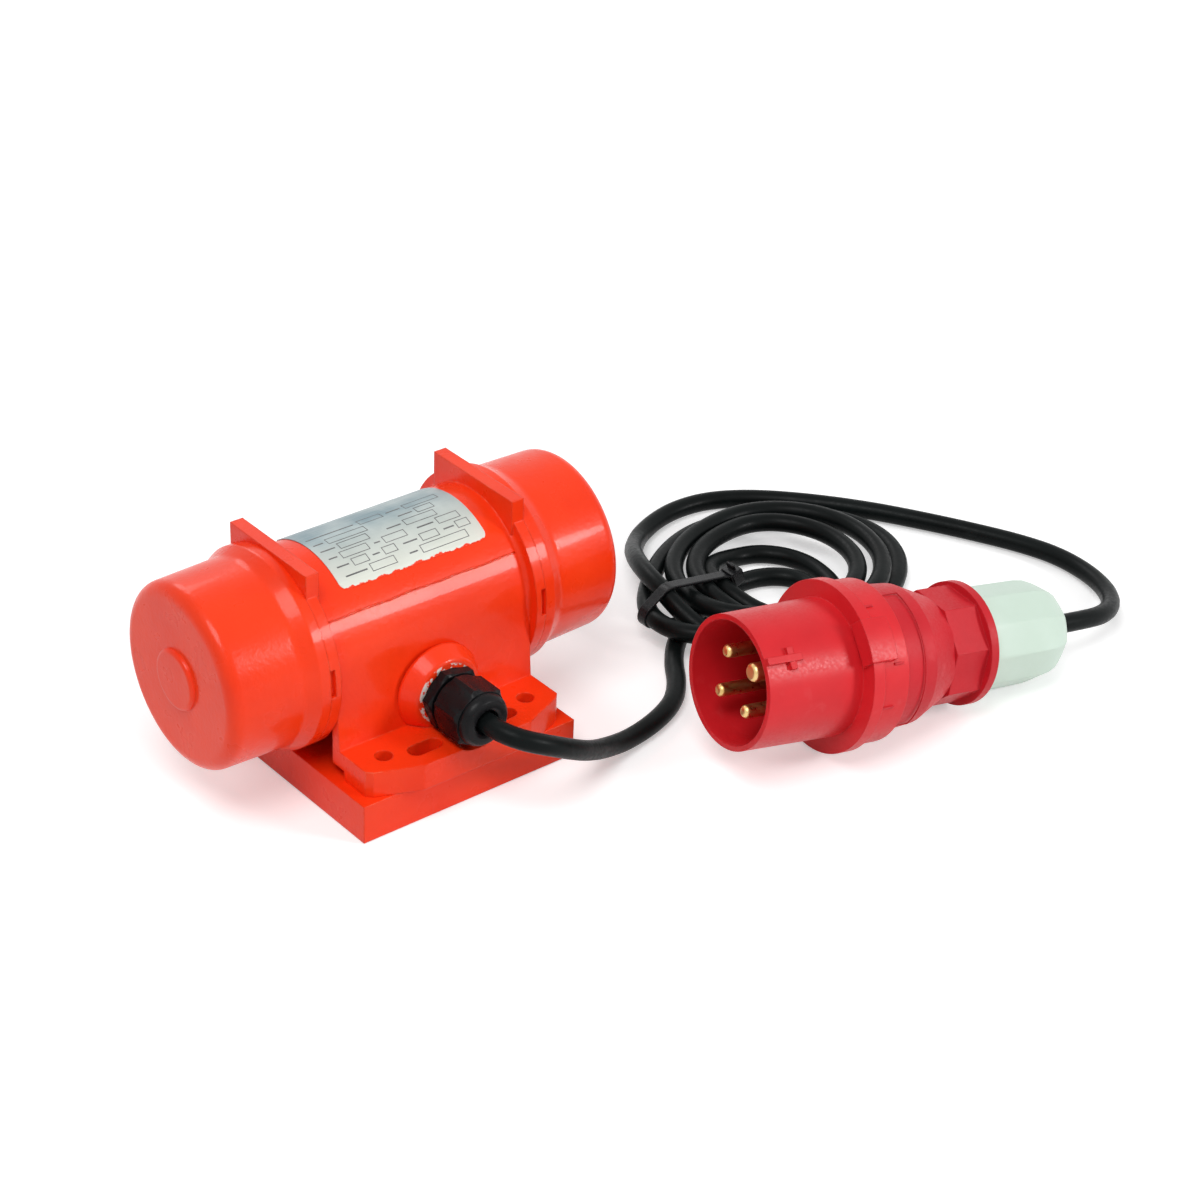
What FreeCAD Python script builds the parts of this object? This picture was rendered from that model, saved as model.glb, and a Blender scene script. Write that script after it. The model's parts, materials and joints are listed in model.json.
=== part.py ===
"""Vibration motor: a foot-mounted electric motor with eccentric weights on both shaft ends, standing
on a drilled base plate, with its coiled supply cable and a four-pin plug.

Frame: millimetres, +Z up, +X along the motor shaft, the cable gland towards -Y. The origin is the
centre of the base plate's underside.
"""
import FreeCAD
import Part

import math
import os
import re

import Sketcher
from FreeCAD import Placement, Rotation, Vector

doc = FreeCAD.newDocument("vibration_motor")

# ---------------------------------------------------------------- driving dimensions, in millimetres
DIMENSIONS = {
    # base plate and feet
    "plate_length": 92.4, "plate_width": 111, "plate_thick": 15,
    "foot_half_length": 42, "foot_thick": 10.3, "foot_half_width": 59.3,
    "foot_front_half": 23, "foot_taper": 6.8, "foot_chamfer": 2, "foot_corner_round": 3,
    "pad_inner": 37.8, "pad_height": 3.7,
    "hole_pitch_length": 62, "hole_pitch_width": 92, "hole_radius": 3.25,
    "slot_pitch_length": 32.5, "slot_pitch_width": 100, "slot_length": 14,
    "plate_screw_length": 14, "plate_screw_width": 42, "plate_screw_radius": 2, "plate_screw_reach": 21,
    "screw_head_radius": 4, "screw_head_height": 2.2,
    # casting
    "axis_height": 52.9,
    "barrel_radius": 33.1, "flange_thick": 4.2, "leg_outer": 35.8, "leg_inner": 31,
    "shoulder_width": 32.9, "shoulder_height": 56, "channel_height": 45,
    "flange_radius": 37.5, "ear_half_width": 23, "ear_rise": 38.4, "ear_thick": 5.2,
    "ear_root": 25, "cove": 1.8,
    "boss_radius": 14, "boss_face": 41.5, "boss_root": 24, "boss_round": 2,
    "boss_flare": 3, "boss_flare_length": 1, "boss_draft": 0.5, "gland_height": 36.3,
    "gland_thread": 8, "spout_length": 3.5, "spout_radius": 35.4, "shield_radius": 34,
    "stator_radius": 28, "shield_bore": 29, "shield_depth": 13.5, "shield_flange": 3,
    "duct_inner": 27, "duct_outer": 31, "duct_width": 7, "duct_end": 30, "duct_start": -5,
    "duct_turn": 33.6, "cavity_radius": 7, "cavity_start": 22,
    "pry_depth": 2, "pry_width": 2, "pry_angle": 86, "pry_length": 10.4,
    "shield_screw_circle": 31.2, "shield_screw_radius": 1.5, "shield_screw_reach": 9,
    "shield_head_radius": 2.6, "shield_head_height": 2,
    # nameplate
    "label_start": -30, "label_end": 32.5, "label_half_angle": 38.7, "label_thick": 0.3,
    "label_round": 3,
    # electric parts
    "core_half": 22, "winding_clearance": 2, "core_bore": 16, "slot_count": 12, "slot_depth": 7, "slot_width": 4.2,
    "tooth_tip": 1.2, "winding_inner": 17.5, "winding_outer": 26, "winding_overhang": 9,
    "rotor_radius": 15.7, "bar_count": 16, "bar_circle": 13.2, "bar_radius": 1.2,
    "cage_inner": 9, "cage_overhang": 4,
    # shaft and bearings
    "shaft_core_radius": 8, "journal_radius": 6, "shaft_end_radius": 5, "shaft_reach": 29.5,
    "journal_inset": 1.5, "journal_reach": 1.5, "bearing_depth": 11.5, "bearing_width": 10,
    "bearing_radius": 16, "outer_race_bore": 13.3, "inner_race_radius": 8.4, "ball_circle": 11,
    "ball_radius": 2.9, "ball_gap": 0.1, "ball_count": 7, "cage_half_thick": 0.5, "cage_half_width": 4,
    "hub_radius": 20, "hub_depth": 12.5, "lip_bore": 13, "web_thick": 5.5, "rim_bore": 25.2,
    "shield_clearance": 0.05,
    # weights
    "spacer_length": 4, "spacer_radius": 8, "weight_thick": 9, "weight_radius": 28, "weight_hub": 9.5,
    "weight_drop": 2, "dial_thick": 1, "dial_radius": 17, "weight_gap": 0.2,
    "turning_clearance": 0.05, "clamp_half_width": 7, "clamp_rise": 11, "clamp_slit": 0.6,
    "clamp_screw_radius": 1.5, "clamp_screw_rise": 8, "clamp_head_radius": 2.8, "clamp_head_height": 3,
    "clip_thick": 1, "clip_radius": 7.2, "clip_gap": 0.3,
    # end caps
    "cap_length": 37.5, "cap_radius": 34.2, "cap_rim": 4, "cap_neck_reach": 9, "cap_neck_radius": 34.9,
    "cap_wall": 2.2, "cap_round": 5, "cap_nose_radius": 11.4, "cap_nose": 1.8, "cap_bore": 35.5,
    "cap_seat": 5.5, "seal_radius": 0.85, "seal_circle": 34.5,
    # cable gland
    "gland_flat": 11, "gland_base_end": 46, "gland_neck_end": 56.5, "gland_nut_start": 47.2,
    "gland_nut_end": 60.5, "gland_nose_end": 64.6, "gland_nose_radius": 9.8, "gland_mouth": 7.4,
    "gland_bore": 6.2, "gland_inner_end": 33, "gland_seal_start": 50,
    "gland_turn": 11, "gland_recess_radius": 13,
    # cable, coil and tie
    "cable_radius": 3.75, "floor_clearance": 0.05, "stub_start": 31.5, "lead_exit": 5.8,
    "tail_exit": 15.5, "wire_radius": 0.7, "wire_spacing": 1.6, "wire_level": 29.2, "wire_exit": 2,
    "wire_shift": 3.5, "wire_end": 26, "coil_height": 15.4, "coil_round": 5,
    "coil_middle_x": 181, "coil_middle_y": -14, "coil_half_length": 63, "coil_half_width": 54,
    "coil_hole_x": 171, "coil_hole_y": -23, "coil_hole_half_length": 15, "coil_hole_half_width": 11,
    "bundle_start": 113.6, "bundle_end": 154.4, "bundle_length": 34, "bundle_height": 22.8,
    "bundle_round": 7, "tie_middle": -12, "tie_width": 4.6, "tie_thick": 1.3, "tie_proud": 0.6,
    "head_size": 7.5, "head_height": 6, "head_level": 10,
    # plug, measured along its own axis from the front of its collar
    "plug_centre_x": 122.6, "plug_centre_y": -101.1, "plug_yaw": -7.7, "plug_roll": 45,
    "shroud_reach": 40.3, "shroud_radius": 24.7, "shroud_root": 25.5, "shroud_bore": 22.7,
    "collar_radius": 31.9, "collar_end": 5, "sleeve_radius": 30.2, "sleeve_end": 17,
    "housing_radius": 27.5, "housing_end": 33, "housing_end_radius": 26.2, "taper_end": 48,
    "neck_radius": 19.8, "neck_start": 46, "neck_end": 61, "neck_flat": 20.4,
    "neck_turn": 22.5,
    "disc_end": 64.5, "disc_radius": 23.3, "housing_wall": 2.5,
    "insert_front": -3, "pin_circle": 11.3, "pin_tip": -38.2, "phase_radius": 2.5,
    "earth_radius": 3.5, "pin_round": 1.8, "terminal_end": 27, "terminal_radius": 4.5,
    "terminal_screw_radius": 1.5, "terminal_screw_rise": 3, "terminal_screw_grip": 2,
    "shell_clearance": 0.05,
    "rib_half_width": 1.3, "rib_end": -25.5, "rib_rise": 2, "stop_rise": 1.6, "shroud_middle": 23.7,
    "stop_half_width": 4, "stop_start": -31,
    "stop_end": -28.4, "latch_half_width": 8, "latch_end": 10, "latch_rise": 1.4, "latch_root": 26.2,
    "latch_front": -1.2,
    "nut_radius": 20, "nut_end": 110, "nut_end_radius": 19, "nut_round": 12, "nut_bore": 16.5,
    "nut_cavity_end": 96, "plug_seal_start": 80, "plug_seal_end": 88,
}

# Stations along the shaft from the motor's middle, each from the one before it and a size.
STATIONS = {
    "winding_end": "=core_half + winding_overhang", "cage_end": "=core_half + cage_overhang",
    "shield_start": "=winding_end + winding_clearance", "seam": "=shield_start + shield_depth",
    "barrel_half": "=seam - flange_thick", "ear_inner": "=seam - ear_thick",
    "spout_end": "=seam + spout_length", "shield_step": "=seam - shield_flange",
    "hub_start": "=seam - hub_depth", "web_start": "=seam - web_thick",
    "bearing_start": "=seam - bearing_depth", "journal_start": "=bearing_start - journal_inset",
    "journal_end": "=seam + journal_reach", "spacer_end": "=journal_end + spacer_length",
    "shaft_end": "=seam + shaft_reach",
    "cap_rim_end": "=seam + cap_rim", "cap_neck": "=seam + cap_neck_reach",
    "cap_step": "=seam + cap_seat", "cap_end": "=seam + cap_length",
}

sheet = doc.addObject("Spreadsheet::Sheet", "Dims")
for row, (alias, number) in enumerate([*DIMENSIONS.items(), *STATIONS.items()], start=1):
    sheet.set(f"A{row}", alias)
    sheet.set(f"B{row}", str(number))
    sheet.setAlias(f"B{row}", alias)
doc.recompute()

SHEET_FUNCTIONS = {"sqrt", "sin", "cos", "tan", "pi", "deg"}


def formula(text):
    """A sheet expression: every dimension name in text gets the sheet's name in front."""
    def prefixed(match):
        word = match.group()
        return word if word in SHEET_FUNCTIONS else "Dims." + word
    return re.sub(r"[a-z][a-z_]*", prefixed, str(text))


def value(text):
    """The number that a formula of dimensions gives."""
    result = sheet.evalExpression(formula(text))
    return float(getattr(result, "Value", result))


# ---------------------------------------------------------------- placements
X_AXIS = Vector(1, 0, 0)
Y_AXIS = Vector(0, 1, 0)
Z_AXIS = Vector(0, 0, 1)
SHAFT_LEVEL = Vector(0, 0, value("axis_height"))
GROUND = Placement()

# The plug rests on its collar's rear edge and on the rounding of its nut.
NUT_REST_RADIUS = value("nut_end_radius + (nut_radius - nut_end_radius) * nut_round"
                        " / (nut_end - disc_end) - nut_round")
REST_DROP = value("collar_radius") - NUT_REST_RADIUS
REST_REACH = value("nut_end - nut_round - collar_end")
PLUG_PITCH = (math.acos(value("nut_round") / math.hypot(REST_DROP, REST_REACH))
              - math.atan2(REST_REACH, REST_DROP))
PLUG_CENTRE_HEIGHT = (value("collar_radius") * math.cos(PLUG_PITCH)
                      + value("collar_end") * math.sin(PLUG_PITCH) + value("floor_clearance"))
PLUG = Placement(
    Vector(value("plug_centre_x"), value("plug_centre_y"), PLUG_CENTRE_HEIGHT),
    Rotation(value("plug_yaw"), math.degrees(PLUG_PITCH), value("plug_roll")))


def on_shaft(side=1):
    """The shaft's frame: local +X points out of the right end for side 1, of the left end for -1."""
    return Placement(SHAFT_LEVEL, Rotation(Z_AXIS, 0 if side > 0 else 180))


# The gland's frame has its local +X pointing out of the casting, towards -Y.
GLAND = Placement(Vector(0, 0, value("gland_height")), Rotation(Z_AXIS, -90))

# ---------------------------------------------------------------- builders
finished = {}


def keep(label, thing):
    """Names a finished sub-part; label becomes its file's name."""
    thing.Label = label
    finished[label] = thing
    return thing


def solid(name, shape, placement=GROUND):
    """A sub-part whose shape comes from Part's own functions."""
    thing = doc.addObject("Part::Feature", name)
    thing.Shape = shape
    thing.Placement = placement
    return thing


def primitive(kind, name, placement=GROUND, offset=Vector(), turn=Rotation(), **sizes):
    """A Part primitive with its sizes bound to the sheet, moved by offset and turn inside placement."""
    thing = doc.addObject("Part::" + kind, name)
    for key, text in sizes.items():
        thing.setExpression(key, formula(text))
    thing.Placement = placement.multiply(Placement(offset, turn))
    return thing


def rod(name, radius, start, end, placement=GROUND, across=0.0, up=0.0):
    """A cylinder along the placement's local X, from start to end, shifted sideways."""
    return primitive("Cylinder", name, placement, Vector(value(start), across, up), Rotation(Y_AXIS, 90),
                     Radius=radius, Height=f"({end}) - ({start})")


def upright(name, radius, start, end, east, north, placement=GROUND):
    """A cylinder along the placement's local Z."""
    return primitive("Cylinder", name, placement, Vector(east, north, value(start)),
                     Radius=radius, Height=f"({end}) - ({start})")


def block(name, low, high, placement=GROUND):
    """A box between two corners given as formulas."""
    corner = Vector(*[value(text) for text in low])
    return primitive("Box", name, placement, corner,
                     Length=f"({high[0]}) - ({low[0]})",
                     Width=f"({high[1]}) - ({low[1]})",
                     Height=f"({high[2]}) - ({low[2]})")


def fused(name, things):
    thing = doc.addObject("Part::MultiFuse", name)
    thing.Shapes = things
    return thing


def without(name, base, tools):
    """base with the tools cut away; the cut has to take something off."""
    doc.recompute()
    before = base.Shape.Volume
    thing = doc.addObject("Part::Cut", name)
    thing.Base = base
    thing.Tool = tools[0] if len(tools) == 1 else fused(name + "_tools", tools)
    doc.recompute()
    if thing.Shape.Volume >= before:
        raise ValueError(name + ": the cut removes nothing")
    return thing


def shared(name, base, tool):
    thing = doc.addObject("Part::Common", name)
    thing.Base = base
    thing.Tool = tool
    return thing


def grouped(name, things):
    """Several separate solids in one node."""
    thing = doc.addObject("Part::Compound", name)
    thing.Links = things
    return thing


def origin_plane(body, role):
    return next(plane for plane in body.Origin.OriginFeatures if plane.Role == role)


def outline_sketch(body, role, corners):
    """A closed outline whose corners are pairs of formulas, each tied to the sheet."""
    sketch = body.newObject("Sketcher::SketchObject", body.Name + "_outline")
    sketch.AttachmentSupport = (origin_plane(body, role), [""])
    sketch.MapMode = "FlatFace"
    places = [Vector(value(first), value(second), 0) for first, second in corners]
    for index, place in enumerate(places):
        sketch.addGeometry(Part.LineSegment(place, places[(index + 1) % len(places)]), False)
    for index in range(len(places)):
        sketch.addConstraint(
            Sketcher.Constraint("Coincident", index, 2, (index + 1) % len(places), 1))
    for index, (first, second) in enumerate(corners):
        for kind, text in (("DistanceX", first), ("DistanceY", second)):
            number = sketch.addConstraint(Sketcher.Constraint(kind, -1, 1, index, 1, value(text)))
            sketch.setExpression(f"Constraints[{number}]", formula(text))
    return sketch


def revolved(name, corners, placement):
    """A body of revolution about its local X; corners are (along, radius) formulas."""
    body = doc.addObject("PartDesign::Body", name)
    sketch = outline_sketch(body, "XY_Plane", corners)
    turn = body.newObject("PartDesign::Revolution", name + "_turned")
    turn.Profile = sketch
    turn.ReferenceAxis = (sketch, ["H_Axis"])
    turn.Angle = 360
    body.Tip = turn
    body.Placement = placement
    doc.recompute()
    return body


def padded(name, role, corners, start, length, placement=GROUND):
    """A body with an outline padded by length, its sketch plane lifted by start."""
    body = doc.addObject("PartDesign::Body", name)
    sketch = outline_sketch(body, role, corners)
    sketch.setExpression("AttachmentOffset.Base.z", formula(start))
    pad = body.newObject("PartDesign::Pad", name + "_pad")
    pad.Profile = sketch
    pad.setExpression("Length", formula(length))
    body.Tip = pad
    body.Placement = placement
    doc.recompute()
    return body


def rounded(body, radius, wanted):
    """Rounds the edges of a body whose centre of mass passes the test wanted."""
    feature = body.Tip
    edges = [f"Edge{number}" for number, edge in enumerate(feature.Shape.Edges, start=1)
             if wanted(edge)]
    fillet = body.newObject("PartDesign::Fillet", body.Name + f"_round_{len(body.Group)}")
    fillet.Base = (feature, edges)
    fillet.setExpression("Radius", formula(radius))
    body.Tip = fillet
    doc.recompute()
    return body


def ring_edge(along, radius):
    """A test for the circular edge at a station and radius of a body of revolution."""
    station = value(along)
    size = value(radius)

    def wanted(edge):
        curve = edge.Curve
        if not isinstance(curve, Part.Circle):
            return False
        return abs(curve.Center.x - station) < 0.01 and abs(curve.Radius - size) < 0.01
    return wanted


def polygon_bar(name, sides, flat, start, end, placement, turn=0.0):
    """A prism along local X; flat is the distance from its axis to each face."""
    prism = doc.addObject("Part::Prism", name)
    prism.Polygon = sides
    prism.setExpression("Circumradius", formula(f"({flat}) / cos({180 / sides} deg)"))
    prism.setExpression("Height", formula(f"({end}) - ({start})"))
    rotation = Rotation(X_AXIS, turn).multiply(Rotation(Y_AXIS, 90))
    prism.Placement = placement.multiply(Placement(Vector(value(start), 0, 0), rotation))
    return prism

def drilled(body, centres, radius, top, depth):
    """Round holes cut downwards from the level top; centres are pairs of formulas."""
    sketch = body.newObject("Sketcher::SketchObject", body.Name + f"_holes_{len(body.Group)}")
    sketch.AttachmentSupport = (origin_plane(body, "XY_Plane"), [""])
    sketch.MapMode = "FlatFace"
    sketch.setExpression("AttachmentOffset.Base.z", formula(top))
    for index, (east, north) in enumerate(centres):
        middle = Vector(value(east), value(north), 0)
        sketch.addGeometry(Part.Circle(middle, Z_AXIS, value(radius)), False)
        constraints = (("DistanceX", (-1, 1, index, 3), east), ("DistanceY", (-1, 1, index, 3), north),
                       ("Radius", (index,), radius))
        for kind, where, text in constraints:
            number = sketch.addConstraint(Sketcher.Constraint(kind, *where, value(text)))
            sketch.setExpression(f"Constraints[{number}]", formula(text))
    before = body.Tip.Shape.Volume
    pocket = body.newObject("PartDesign::Pocket", body.Name + f"_drilled_{len(body.Group)}")
    pocket.Profile = sketch
    pocket.setExpression("Length", formula(depth))
    body.Tip = pocket
    doc.recompute()
    if pocket.Shape.Volume >= before:
        raise ValueError(body.Name + ": the holes point away from the plate")
    return body


def four(pitch_length, pitch_width):
    """The four corners of a rectangle of that pitch, as formulas."""
    return [(f"{east} * ({pitch_length}) / 2", f"{north} * ({pitch_width}) / 2")
            for east in (-1, 1) for north in (-1, 1)]


# ---------------------------------------------------------------- base plate and casting
def base_plate():
    corners = [(f"{east} * plate_length / 2", f"{north} * plate_width / 2")
               for east, north in ((-1, -1), (1, -1), (1, 1), (-1, 1))]
    plate = padded("base_plate", "XY_Plane", corners, "0", "plate_thick")
    drilled(plate, four("hole_pitch_length", "hole_pitch_width"), "hole_radius", "plate_thick",
            "plate_thick")
    screws = four("2 * plate_screw_length", "2 * plate_screw_width")
    drilled(plate, screws, "plate_screw_radius", "plate_thick", "plate_thick")
    drilled(plate, screws, "screw_head_radius", "screw_head_height", "screw_head_height")
    return keep("base_plate", plate)


def plate_screws():
    """Four screws from below, through the plate into the feet."""
    screws = []
    for index, (east, north) in enumerate(four("2 * plate_screw_length", "2 * plate_screw_width")):
        place = (value(east), value(north))
        shank = upright(f"plate_shank_{index}", "plate_screw_radius", "screw_head_height",
                        "plate_screw_reach", *place)
        head = upright(f"plate_head_{index}", "screw_head_radius", "0", "screw_head_height", *place)
        screws.append(fused(f"plate_screw_{index}", [shank, head]))
    return keep("plate_screws", grouped("plate_screw_group", screws))


def foot():
    """The two feet as one slab, with tapered fronts and rounded corners."""
    half = [("foot_half_length", "foot_half_width - foot_taper - foot_chamfer"),
            ("foot_half_length - foot_chamfer", "foot_half_width - foot_taper"),
            ("foot_front_half", "foot_half_width")]
    back = half + [(f"-({east})", north) for east, north in reversed(half)]
    front = [(f"-({east})", f"-({north})") for east, north in back]
    slab = padded("foot_slab", "XY_Plane", back + front, "plate_thick", "foot_thick")

    def is_front_corner(edge):
        low, high = edge.BoundBox.ZMin, edge.BoundBox.ZMax
        beside = abs(abs(edge.CenterOfMass.x) - value("foot_front_half")) < 0.01
        return beside and high - low > 1
    return rounded(slab, "foot_corner_round", is_front_corner)


def foot_openings():
    """The cutters for the round holes and the slots in the feet."""
    top = "plate_thick + foot_thick"
    cutters = []
    for index, (east, north) in enumerate(four("hole_pitch_length", "hole_pitch_width")):
        cutters.append(upright(f"foot_hole_{index}", "hole_radius", "plate_thick", top,
                               value(east), value(north)))
    for index, (east, north) in enumerate(four("2 * plate_screw_length", "2 * plate_screw_width")):
        cutters.append(upright(f"foot_tapping_{index}", "plate_screw_radius", "plate_thick",
                               "plate_screw_reach", value(east), value(north)))
    reach = "(slot_length / 2 - hole_radius)"
    for index, (east, north) in enumerate(four("slot_pitch_length", "slot_pitch_width")):
        middle = block(f"foot_slot_{index}", (f"{east} - {reach}", f"{north} - hole_radius", "plate_thick"),
                       (f"{east} + {reach}", f"{north} + hole_radius", top))
        ends = [upright(f"foot_slot_end_{index}_{number}", "hole_radius", "plate_thick", top,
                        value(f"{east} + {sign} * {reach}"), value(north))
                for number, sign in enumerate((-1, 1))]
        cutters.append(fused(f"foot_slot_whole_{index}", [middle] + ends))
    return cutters


def barrel():
    """The round body with a flange and a cap spout at each end."""
    half = [("barrel_half", "barrel_radius"), ("barrel_half", "flange_radius"), ("seam", "flange_radius"),
            ("seam", "spout_radius"), ("spout_end", "spout_radius"), ("spout_end", "0")]
    corners = [(f"-({along})", radius) for along, radius in reversed(half)] + half
    body = revolved("barrel", corners, on_shaft())
    coves = [ring_edge(f"{sign} * barrel_half", "barrel_radius") for sign in (-1, 1)]
    rounded(body, "cove", lambda edge: any(test(edge) for test in coves))
    return body


def boss():
    """The round pad that the cable gland screws into."""
    corners = [("boss_root", "0"), ("boss_root", "boss_radius"),
               ("leg_outer - boss_flare_length", "boss_radius"),
               ("leg_outer - boss_flare_length", "boss_radius + boss_flare"),
               ("leg_outer", "boss_radius + boss_flare"),
               ("boss_face", "boss_radius - boss_draft"), ("boss_face", "0")]
    body = revolved("boss", corners, GLAND)
    return rounded(body, "boss_round", ring_edge("boss_face", "boss_radius - boss_draft"))


def screw_angles():
    return [45 + 90 * step for step in range(4)]


def turned_about_shaft(angle, side=1):
    return on_shaft(side).multiply(Placement(Vector(), Rotation(X_AXIS, angle)))


def casting_cutters():
    """Everything that is bored, cored or slotted out of the casting."""
    bore = rod("stator_bore", "stator_radius", "-spout_end", "spout_end", on_shaft())
    thread = rod("gland_thread_hole", "gland_thread", "gland_inner_end", "boss_face", GLAND)
    cavity = rod("gland_cavity", "cavity_radius", "cavity_start", "gland_inner_end", GLAND)
    duct = block("lead_duct", ("duct_start", "-duct_outer", "-duct_width / 2"),
                 ("duct_end", "-duct_inner", "duct_width / 2"), turned_about_shaft(value("duct_turn")))
    recess = rod("gland_recess", "gland_recess_radius", "boss_face", "foot_half_width", GLAND)
    cutters = [bore, thread, cavity, duct, recess]
    for side in (-1, 1):
        place = on_shaft(side)
        cutters.append(rod(f"shield_bore_{side}", "shield_bore", "shield_start", "spout_end", place))
        cutters.append(rod(f"shield_seat_{side}", "shield_radius", "shield_step", "spout_end", place))
        for index, angle in enumerate(screw_angles()):
            cutters.append(rod(f"shield_tapping_{side}_{index}", "shield_screw_radius",
                               "shield_step - shield_screw_reach", "shield_step",
                               turned_about_shaft(angle, side), up=value("shield_screw_circle")))
        for index, angle in enumerate((-1, 1)):
            cutters.append(block(f"pry_slot_{side}_{index}",
                                 ("seam - pry_width", "-pry_length / 2", "flange_radius - pry_depth"),
                                 ("seam", "pry_length / 2", "flange_radius + pry_depth"),
                                 turned_about_shaft(angle * value("pry_angle"), side)))
    return cutters


def body_casting():
    """The painted housing: feet, legs, round body, flanges with flat ears, and the gland's boss."""
    legs = padded("legs", "YZ_Plane",
                  [("-leg_outer", "plate_thick + pad_height"), ("leg_outer", "plate_thick + pad_height"),
                   ("shoulder_width", "shoulder_height"), ("-shoulder_width", "shoulder_height")],
                  "-foot_half_length", "2 * foot_half_length")
    channel = block("channel", ("-seam", "-leg_inner", "plate_thick"),
                    ("seam", "leg_inner", "channel_height"))
    pad_gap = block("pad_gap", ("-seam", "-pad_inner", "plate_thick"),
                    ("seam", "pad_inner", "plate_thick + pad_height"))
    lower = without("lower_half", fused("feet_and_legs", [foot(), legs]), [channel, pad_gap])
    ears = [block(f"ear_{side}", ("ear_inner", "-ear_half_width", "ear_root"),
                  ("seam", "ear_half_width", "ear_rise"), on_shaft(side)) for side in (-1, 1)]
    whole = fused("casting_blank", [lower, barrel(), boss()] + ears)
    return keep("body_casting", without("casting_bored", whole, casting_cutters() + foot_openings()))


def nameplate():
    """A thin bare plate bent around the top of the body."""
    start = 180 - value("label_half_angle")
    turn = Rotation(Y_AXIS, 90).multiply(Rotation(Z_AXIS, start))
    sectors = []
    for name, radius in (("label_outer", "barrel_radius + label_thick"), ("label_inner", "barrel_radius")):
        sectors.append(primitive("Cylinder", name, on_shaft(), Vector(value("label_start"), 0, 0), turn,
                                 Radius=radius, Height="label_end - label_start",
                                 Angle="2 * label_half_angle * 1 deg"))
    sheet_metal = without("label_bent", sectors[0], [sectors[1]])
    corners = [number for number, edge in enumerate(sheet_metal.Shape.Edges, start=1)
               if edge.Length < 2 * value("label_thick")]
    plate = doc.addObject("Part::Fillet", "label_rounded")
    plate.Base = sheet_metal
    plate.Edges = [(number, value("label_round"), value("label_round")) for number in corners]
    return keep("nameplate", plate)


# ---------------------------------------------------------------- stator, rotor and shaft
def slot_blocks(name):
    """The slots of the stator, as blocks around the shaft."""
    blocks = []
    for index in range(round(value("slot_count"))):
        frame = turned_about_shaft(360 * index / value("slot_count"))
        blocks.append(block(f"{name}_{index}", ("-core_half", "-slot_width / 2", "core_bore + tooth_tip"),
                            ("core_half", "slot_width / 2", "core_bore + tooth_tip + slot_depth"), frame))
    return blocks


def stator_core():
    ring = rod("core_ring", "stator_radius", "-core_half", "core_half", on_shaft())
    hole = rod("core_hole", "core_bore", "-core_half", "core_half", on_shaft())
    return keep("stator_core", without("core_slotted", ring, [hole] + slot_blocks("core_slot")))


def stator_windings():
    """Coil sides in the slots, joined by a ring of end turns on each side."""
    pieces = slot_blocks("coil_side")
    for side in (-1, 1):
        outer = rod(f"end_turns_{side}", "winding_outer", "core_half", "winding_end", on_shaft(side))
        inner = rod(f"end_turns_hole_{side}", "winding_inner", "core_half", "winding_end", on_shaft(side))
        pieces.append(without(f"end_ring_{side}", outer, [inner]))
    return keep("stator_windings", fused("windings", pieces))


def bar_rods(name, end):
    """The round bars of the cage, or the holes that they fill."""
    return [rod(f"{name}_{index}", "bar_radius", f"-({end})", end,
                turned_about_shaft(360 * index / value("bar_count")), up=value("bar_circle"))
            for index in range(round(value("bar_count")))]


def rotor_core():
    drum = rod("rotor_drum", "rotor_radius", "-core_half", "core_half", on_shaft())
    hole = rod("rotor_hole", "shaft_core_radius", "-core_half", "core_half", on_shaft())
    return keep("rotor_core", without("rotor_pierced", drum, [hole] + bar_rods("bar_hole", "core_half")))


def rotor_cage():
    pieces = bar_rods("cage_bar", "core_half")
    for side in (-1, 1):
        outer = rod(f"cage_ring_{side}", "rotor_radius", "core_half", "cage_end", on_shaft(side))
        inner = rod(f"cage_hole_{side}", "cage_inner", "core_half", "cage_end", on_shaft(side))
        pieces.append(without(f"cage_end_{side}", outer, [inner]))
    return keep("rotor_cage", fused("cage", pieces))


def shaft():
    half = [("journal_start", "shaft_core_radius"), ("journal_start", "journal_radius"),
            ("journal_end", "journal_radius"), ("journal_end", "shaft_end_radius"),
            ("shaft_end", "shaft_end_radius"), ("shaft_end", "0")]
    corners = [(f"-({along})", radius) for along, radius in reversed(half)] + half
    return keep("shaft", revolved("shaft", corners, on_shaft()))


def bearing(side, label):
    """A ball bearing in three nodes: outer ring, inner ring, and the balls in their cage."""
    place = on_shaft(side)
    span = ("bearing_start", "bearing_start + bearing_width")
    middle = Vector(value("bearing_start + bearing_width / 2"), 0, 0)
    rings = (("outer", "bearing_radius", "outer_race_bore"), ("inner", "inner_race_radius", "journal_radius"))
    for name, outer, inner in rings:
        groove = primitive("Torus", f"groove_{name}_{label}", place, middle, Rotation(Y_AXIS, 90),
                           Radius1="ball_circle", Radius2="ball_radius + ball_gap")
        ring = rod(f"race_{name}_{label}", outer, *span, place)
        hole = rod(f"race_{name}_hole_{label}", inner, *span, place)
        keep(f"bearing_{name}_{label}", without(f"race_{name}_cut_{label}", ring, [hole, groove]))
    cage_span = (f"{middle.x} - cage_half_width", f"{middle.x} + cage_half_width")
    band = rod(f"ball_band_{label}", "ball_circle + cage_half_thick", *cage_span, place)
    hole = rod(f"ball_band_hole_{label}", "ball_circle - cage_half_thick", *cage_span, place)
    pieces = [without(f"ball_cage_{label}", band, [hole])]
    for index in range(round(value("ball_count"))):
        frame = turned_about_shaft(360 * index / value("ball_count"), side)
        pieces.append(primitive("Sphere", f"ball_{label}_{index}", frame,
                                middle + Vector(0, 0, value("ball_circle")), Radius="ball_radius"))
    keep(f"bearing_balls_{label}", fused(f"ball_set_{label}", pieces))


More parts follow.
